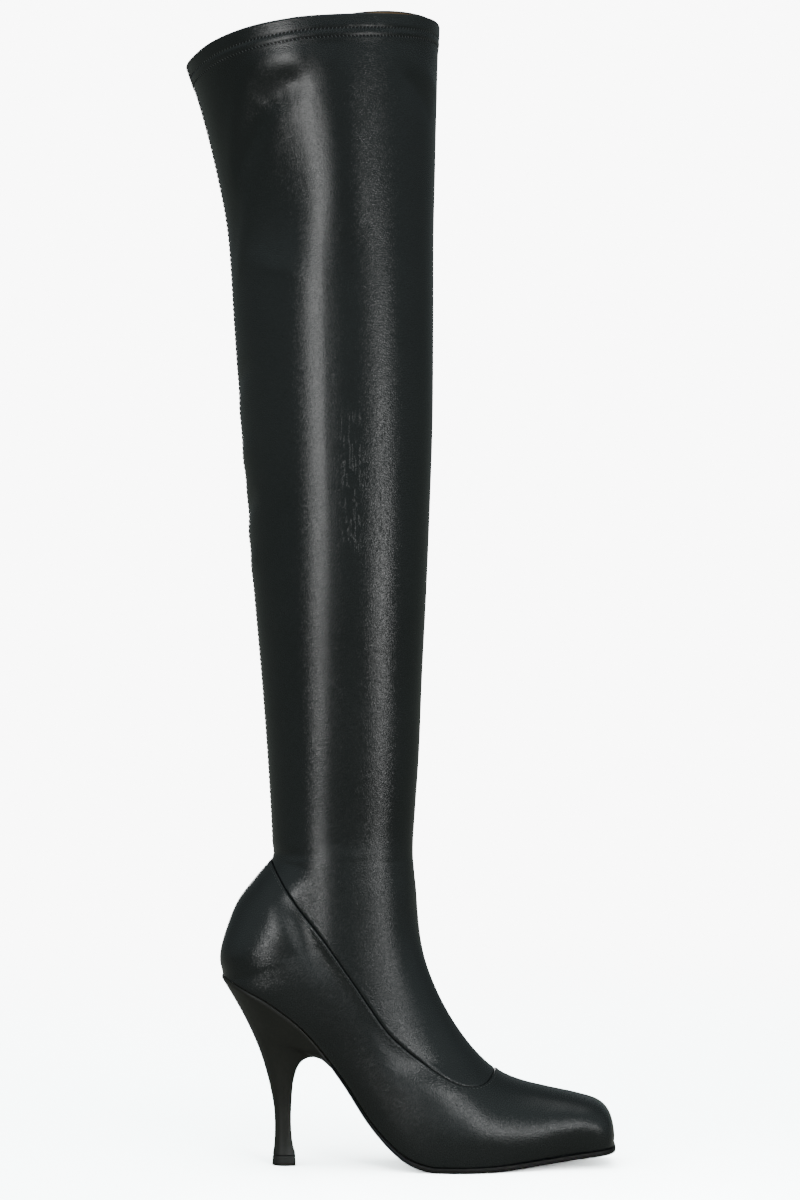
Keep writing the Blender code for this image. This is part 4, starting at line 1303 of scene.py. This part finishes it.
def toe_line():
    return (boot_point(0.0, fine_columns(30)) - SHIFT)[:, :2]


def side_stations(start, steps):
    at = np.arange(SEAT_BACK_SECTION * steps, -1, -1) / steps
    rows = section_values(at, np.ones(np.shape(at)))[:, 0]
    return np.concatenate([[start], rows[rows > start + FOOT_LENGTH / 800]])


def moved_out(line, distance):
    along = np.gradient(line, axis=0)
    normal = np.stack([along[:, 1], -along[:, 0]], axis=1)
    return line + distance * normal / np.linalg.norm(normal, axis=1, keepdims=True)


def ring_faces(loops, count):
    faces = []
    for k in range(loops - 1):
        for i in range(count):
            n = (i + 1) % count
            faces.append([k * count + i, k * count + n, (k + 1) * count + n, (k + 1) * count + i])
    return faces


def cap_faces(count, first, upward):
    faces = []
    for i in range(count // 2):
        corners = [first + i, first + i + 1, first + count - 2 - i, first + count - 1 - i]
        corners = list(dict.fromkeys(corners))
        if len(corners) > 2:
            faces.append(corners if upward else corners[::-1])
    return faces


def plate(name, loops, materials, sharp=50):
    count = len(loops[0])
    faces = ring_faces(len(loops), count)
    faces += cap_faces(count, 0, False) + cap_faces(count, (len(loops) - 1) * count, True)
    made = add_mesh(name, np.vstack(loops) + SHIFT, faces, materials, sharp)
    point_outwards(made)
    return made


def outsole(finish):
    start = LIP * FOOT_LENGTH + GAP / 10
    x = side_stations(start, 8)
    line = np.vstack([side_line(LATERAL, x[:-1]), toe_line(), side_line(MEDIAL, x[:-1])[::-1]])

    def loop(outward, drop):
        moved = moved_out(line, outward)
        moved[[0, -1], 0] = start
        moved[:, 0] = np.maximum(moved[:, 0], start)
        along = np.interp(moved[:, 0], [start, WAIST_END * FOOT_LENGTH], [0.0, 1.0])
        thickness = WAIST_SOLE_THICKNESS + along * (SOLE_THICKNESS - WAIST_SOLE_THICKNESS)
        z = bottom_z(moved[:, 0]) - GAP - drop * thickness
        return np.column_stack([moved, np.maximum(z, 0.0)])

    profile = (
        (SOLE_MARGIN - SOLE_BEVEL, 1.00),
        (SOLE_MARGIN - 0.55 * SOLE_BEVEL, 0.985),
        (SOLE_MARGIN - 0.22 * SOLE_BEVEL, 0.90),
        (SOLE_MARGIN - 0.05 * SOLE_BEVEL, 0.76),
        (SOLE_MARGIN, 0.60),
        (SOLE_MARGIN, 0.30),
        (SOLE_MARGIN - 0.08 * SOLE_BEVEL, 0.12),
        (SOLE_MARGIN - 0.35 * SOLE_BEVEL, 0.02),
        (SOLE_MARGIN - 1.20 * SOLE_BEVEL, 0.00),
    )
    return plate("sole_leather", [loop(*step) for step in profile], [finish])


def insole(finish):
    x = side_stations(SEAT_BACK * FOOT_LENGTH, 6)
    side_x = x[1:-1]
    sides = (side_line(LATERAL, side_x), toe_line(), side_line(MEDIAL, side_x)[::-1])
    line = np.vstack([[[x[0], 0.0]], *sides])
    turned = np.vstack([line[-1:], line, line[:1]])

    def loop(inset, rise):
        moved = moved_out(turned, -inset)[1:-1]
        moved = np.vstack([moved[1:], moved[:1]])
        return np.column_stack([moved, bottom_z(moved[:, 0]) + rise])

    inset = UPPER_WALL + 2 * GAP
    loops = [
        loop(inset, 0.0),
        loop(inset, INSOLE_THICKNESS * 0.7),
        loop(inset + 0.0005, INSOLE_THICKNESS),
        loop(inset + 0.0030, INSOLE_THICKNESS),
    ]
    count = len(loops[0])
    back = count - 1
    faces = ring_faces(len(loops), count)
    for first, upward in ((0, False), ((len(loops) - 1) * count, True)):
        faces += cap_faces(back, first, upward)
        tail = [first + back, first, first + back - 1]
        faces.append(tail if upward else tail[::-1])
    made = add_mesh("insole_sock", np.vstack(loops) + SHIFT, faces, [finish])
    point_outwards(made)
    return made


def d_section(back, front, half, high_back, high_front):
    turn = np.linspace(0, math.pi / 2, HEEL_COLUMNS)
    share = 1 - np.cos(turn)
    rising = np.clip(share / D_WIDEST, 0, 1)
    falling = np.clip((share - D_WIDEST) / (1 - D_WIDEST), 0, 1)
    wide = half * np.sqrt(1 - (1 - rising) ** 2) * (1 - (1 - D_CORNER) * falling**2)
    share = np.concatenate([share[::-1], share[1:]])
    y = np.concatenate([LATERAL * wide[::-1], MEDIAL * wide[1:]])
    x = back + share * (front - back)
    z = high_back + share * (high_front - high_back)
    return np.column_stack([x, y, z])


def seat_loop(drop, inset=0.0):
    turn = np.linspace(0, math.pi / 2, HEEL_COLUMNS)
    back, front = SEAT_BACK * FOOT_LENGTH, LIP * FOOT_LENGTH
    x = back + (1 - np.cos(turn)) * (front - back)
    line = np.vstack([side_line(LATERAL, x)[::-1], side_line(MEDIAL, x)[1:]])
    line = moved_out(line[::-1], SOLE_MARGIN / 2 - inset)[::-1]
    line[:, 0] = np.minimum(line[:, 0], front)
    return np.column_stack([line, bottom_z(line[:, 0]) - GAP - drop])


def tip_ends():
    centre = TIP_CENTRE * FOOT_LENGTH
    return centre - TIP_LENGTH / 2, centre + TIP_LENGTH / 2


def heel(finish):
    tip_back, tip_front = tip_ends()
    seat_back, lip = SEAT_BACK * FOOT_LENGTH, LIP * FOOT_LENGTH
    seat_half = float(outline_half(LATERAL, SEAT_CENTRE * FOOT_LENGTH))
    base = TIP_HEIGHT + GAP
    top_back = float(bottom_z(seat_back)) - base
    top_front = float(bottom_z(lip)) - GAP - SEAT_RIM - base
    sections = []
    for _, back, front, wide, high_back, high_front in HEEL_SECTIONS:
        sections.append(d_section(
            tip_back + back * (seat_back - tip_back),
            tip_front + front * (lip - tip_front),
            TIP_WIDTH / 2 + wide * (seat_half - TIP_WIDTH / 2),
            base + high_back * top_back,
            base + high_front * top_front,
        ))
    sections.append(seat_loop(SEAT_RIM))
    steps = (len(sections) - 1) * 10 + 1
    rows = np.array(sections)
    flat = smooth(rows.reshape(len(rows), -1), np.linspace(0, len(rows) - 1, steps))
    loops = list(flat.reshape(steps, -1, 3))
    loops += [seat_loop(share * SEAT_RIM, inset) for share, inset in HEEL_RIM]
    return plate("heel_cover", [loop[::-1] for loop in loops], [finish], sharp=55)


def heel_tip(finish):
    back, front = tip_ends()
    profile = (
        # rise: share of the tip's height, growth: metres
        (0.0, TIP_FLARE - 1.25 * TIP_EDGE),
        (TIP_EDGE / TIP_HEIGHT, TIP_FLARE),
        (0.35, 0.8 * TIP_FLARE),
        (0.80, 0.2 * TIP_FLARE),
        (0.93, 0.0),
        (1.0, -TIP_EDGE),
    )
    loops = []
    for rise, grow in profile:
        z = rise * TIP_HEIGHT
        loops.append(d_section(back - grow, front + grow, TIP_WIDTH / 2 + grow, z, z))
    return plate("heel_tip_piece", [loop[::-1] for loop in loops], [finish], sharp=60)


def camera_sees(tree, lit, seen):
    """Two shaders in one: what the camera sees, and what lights and reflects."""
    ray = node(tree, "ShaderNodeLightPath").outputs["Is Camera Ray"]
    both = {0: ray, 1: lit.outputs[0], 2: seen.outputs[0]}
    return node(tree, "ShaderNodeMixShader", both).outputs[0]


def pale_floor():
    """Pale floor that fades into an even white surround."""
    mesh = bpy.data.meshes.new("floor")
    reach = FLOOR_REACH
    corners = [(-reach, -reach, 0), (reach, -reach, 0), (reach, reach, 0), (-reach, reach, 0)]
    mesh.from_pydata(corners, [], [(0, 1, 2, 3)])
    floor = new_object("floor", mesh)
    finish = bpy.data.materials.new("pale floor")
    finish.use_nodes = True
    tree = finish.node_tree
    tree.nodes.remove(tree.nodes["Principled BSDF"])
    seen = node(tree, "ShaderNodeBsdfDiffuse", {"Color": (FLOOR_GAIN, FLOOR_GAIN, FLOOR_GAIN, 1.0)})
    lit = node(tree, "ShaderNodeBsdfDiffuse", {"Color": FLOOR_REFLECTED})
    white = node(tree, "ShaderNodeEmission", {"Strength": SURROUND})
    place = node(tree, "ShaderNodeTexCoord").outputs["Object"]
    length = node(tree, "ShaderNodeVectorMath", {0: place}, operation="LENGTH").outputs["Value"]
    fade = range_node(tree, length, *FLOOR_FADE, 0.0, 1.0)
    faded = node(tree, "ShaderNodeMixShader", {0: fade, 1: seen.outputs[0], 2: white.outputs[0]})
    tree.links.new(camera_sees(tree, lit, faded), tree.nodes["Material Output"].inputs["Surface"])
    mesh.materials.append(finish)


def surround():
    """White to the camera, and dim in reflections, more so behind the boot."""
    world = bpy.data.worlds.new("studio")
    bpy.context.scene.world = world
    world.use_nodes = True
    tree = world.node_tree
    back = tree.nodes["Background"]
    back.inputs["Color"].default_value = (0.86, 1.0, 1.0, 1.0)
    coords = node(tree, "ShaderNodeTexCoord")
    split = node(tree, "ShaderNodeSeparateXYZ", {0: coords.outputs["Generated"]})
    dim = range_node(tree, split.outputs["Y"], -0.5, 0.7, 0.60, 0.18)
    tree.links.new(dim, back.inputs["Strength"])
    seen = node(tree, "ShaderNodeBackground",
                {"Color": (1.0, 1.0, 1.0, 1.0), "Strength": SURROUND})
    tree.links.new(camera_sees(tree, back, seen), tree.nodes["World Output"].inputs["Surface"])


# Soft lamps. around: degrees from the camera, positive towards the toe. distance, height:
# metres. wide, tall: size. power: watts. tilt: degrees that the box faces upwards.
# spread: degrees of its beam.
LAMPS = (
    # name, around, distance, height, wide, tall, power, tilt, spread
    ("main strip",   -20.5, 1.15, 0.385, 0.62, 0.41, 0.66, 11.0, 68.0),
    ("counter box",  -33.0, 1.15, 0.12, 0.30, 0.18, 0.15,  0.0,  60.0),
    ("front strip",   49.0, 1.15, 0.19, 0.19, 0.42, 0.28, 14.0,  66.0),
    ("vamp strip",    18.5, 0.84, 0.30, 0.19, 0.46, 0.15, -33.0, 50.0),
    ("toe box",       30.0, 1.10, 0.17, 0.19, 0.34, 0.075, -16.0, 34.0),
    ("back strip",   190.0, 2.00, 0.50, 0.45, 1.00, 1.2,  0.0,  60.0),
    ("top",            0.0, 0.00, 2.30, 1.60, 1.60, 8.0, -90.0, 180.0),
)


def lights():
    for name, around, distance, height, wide, tall, power, tilt, spread in LAMPS:
        lamp = bpy.data.lights.new(name, "AREA")
        lamp.shape = "RECTANGLE"
        lamp.size = wide
        lamp.size_y = tall
        lamp.energy = power
        lamp.spread = math.radians(spread)
        made = new_object(name, lamp)
        turn = math.radians(around)
        made.location = (distance * math.sin(turn), -distance * math.cos(turn), height)
        made.rotation_euler = (math.radians(90.0 + tilt), 0.0, turn)
        made.visible_camera = False


def camera():
    lens = bpy.data.cameras.new("camera")
    lens.sensor_fit = "VERTICAL"
    lens.sensor_height = SENSOR_HEIGHT
    lens.lens = SENSOR_HEIGHT * PHOTO_FOCAL / PHOTO_HEIGHT
    lens.clip_end = 50
    made = new_object("camera", lens)
    made.location = CAMERA_PLACE
    made.rotation_euler = (math.radians(90 - CAMERA_DOWN), 0.0, 0.0)
    bpy.context.scene.camera = made


def dress(piece, node):
    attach(piece, "root")
    if node:
        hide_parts(node)


def main():
    clear_start()
    finish = finishes()
    foot_leather, leg_leather = finish["black grain leather"], finish["black stretch leather"]
    tan_lining = finish["tan lining"]
    thread, hole_shade = finish["black thread"], finish["needle hole painted shade"]
    skin = boot_skin(FINE_COLUMNS, FOOT_STEP, LEG_STEP, HEM_DOWNS, SEAM_LEVELS)
    lining_skin = boot_skin(LINING_COLUMNS, LINING_STEP, LINING_STEP, (0.0, HEM_ZONE), (0.0,))
    dress(upper(skin, lining_skin, foot_leather, tan_lining), "upper")
    dress(shaft(skin, lining_skin, leg_leather, tan_lining), "shaft")
    group = stitch_group()
    for row in hem_stitches(skin, group, thread, hole_shade) + back_stitches(skin, group, thread):
        dress(row, None)
    dress(seam_stitches(skin, group, thread), None)
    dress(outsole(finish["black sole"]), "outsole")
    dress(insole(tan_lining), "insole")
    dress(heel(finish["black heel cover"]), "heel")
    dress(heel_tip(finish["black heel tip"]), "heel_tip")
    pale_floor()
    surround()
    lights()
    camera()


main()
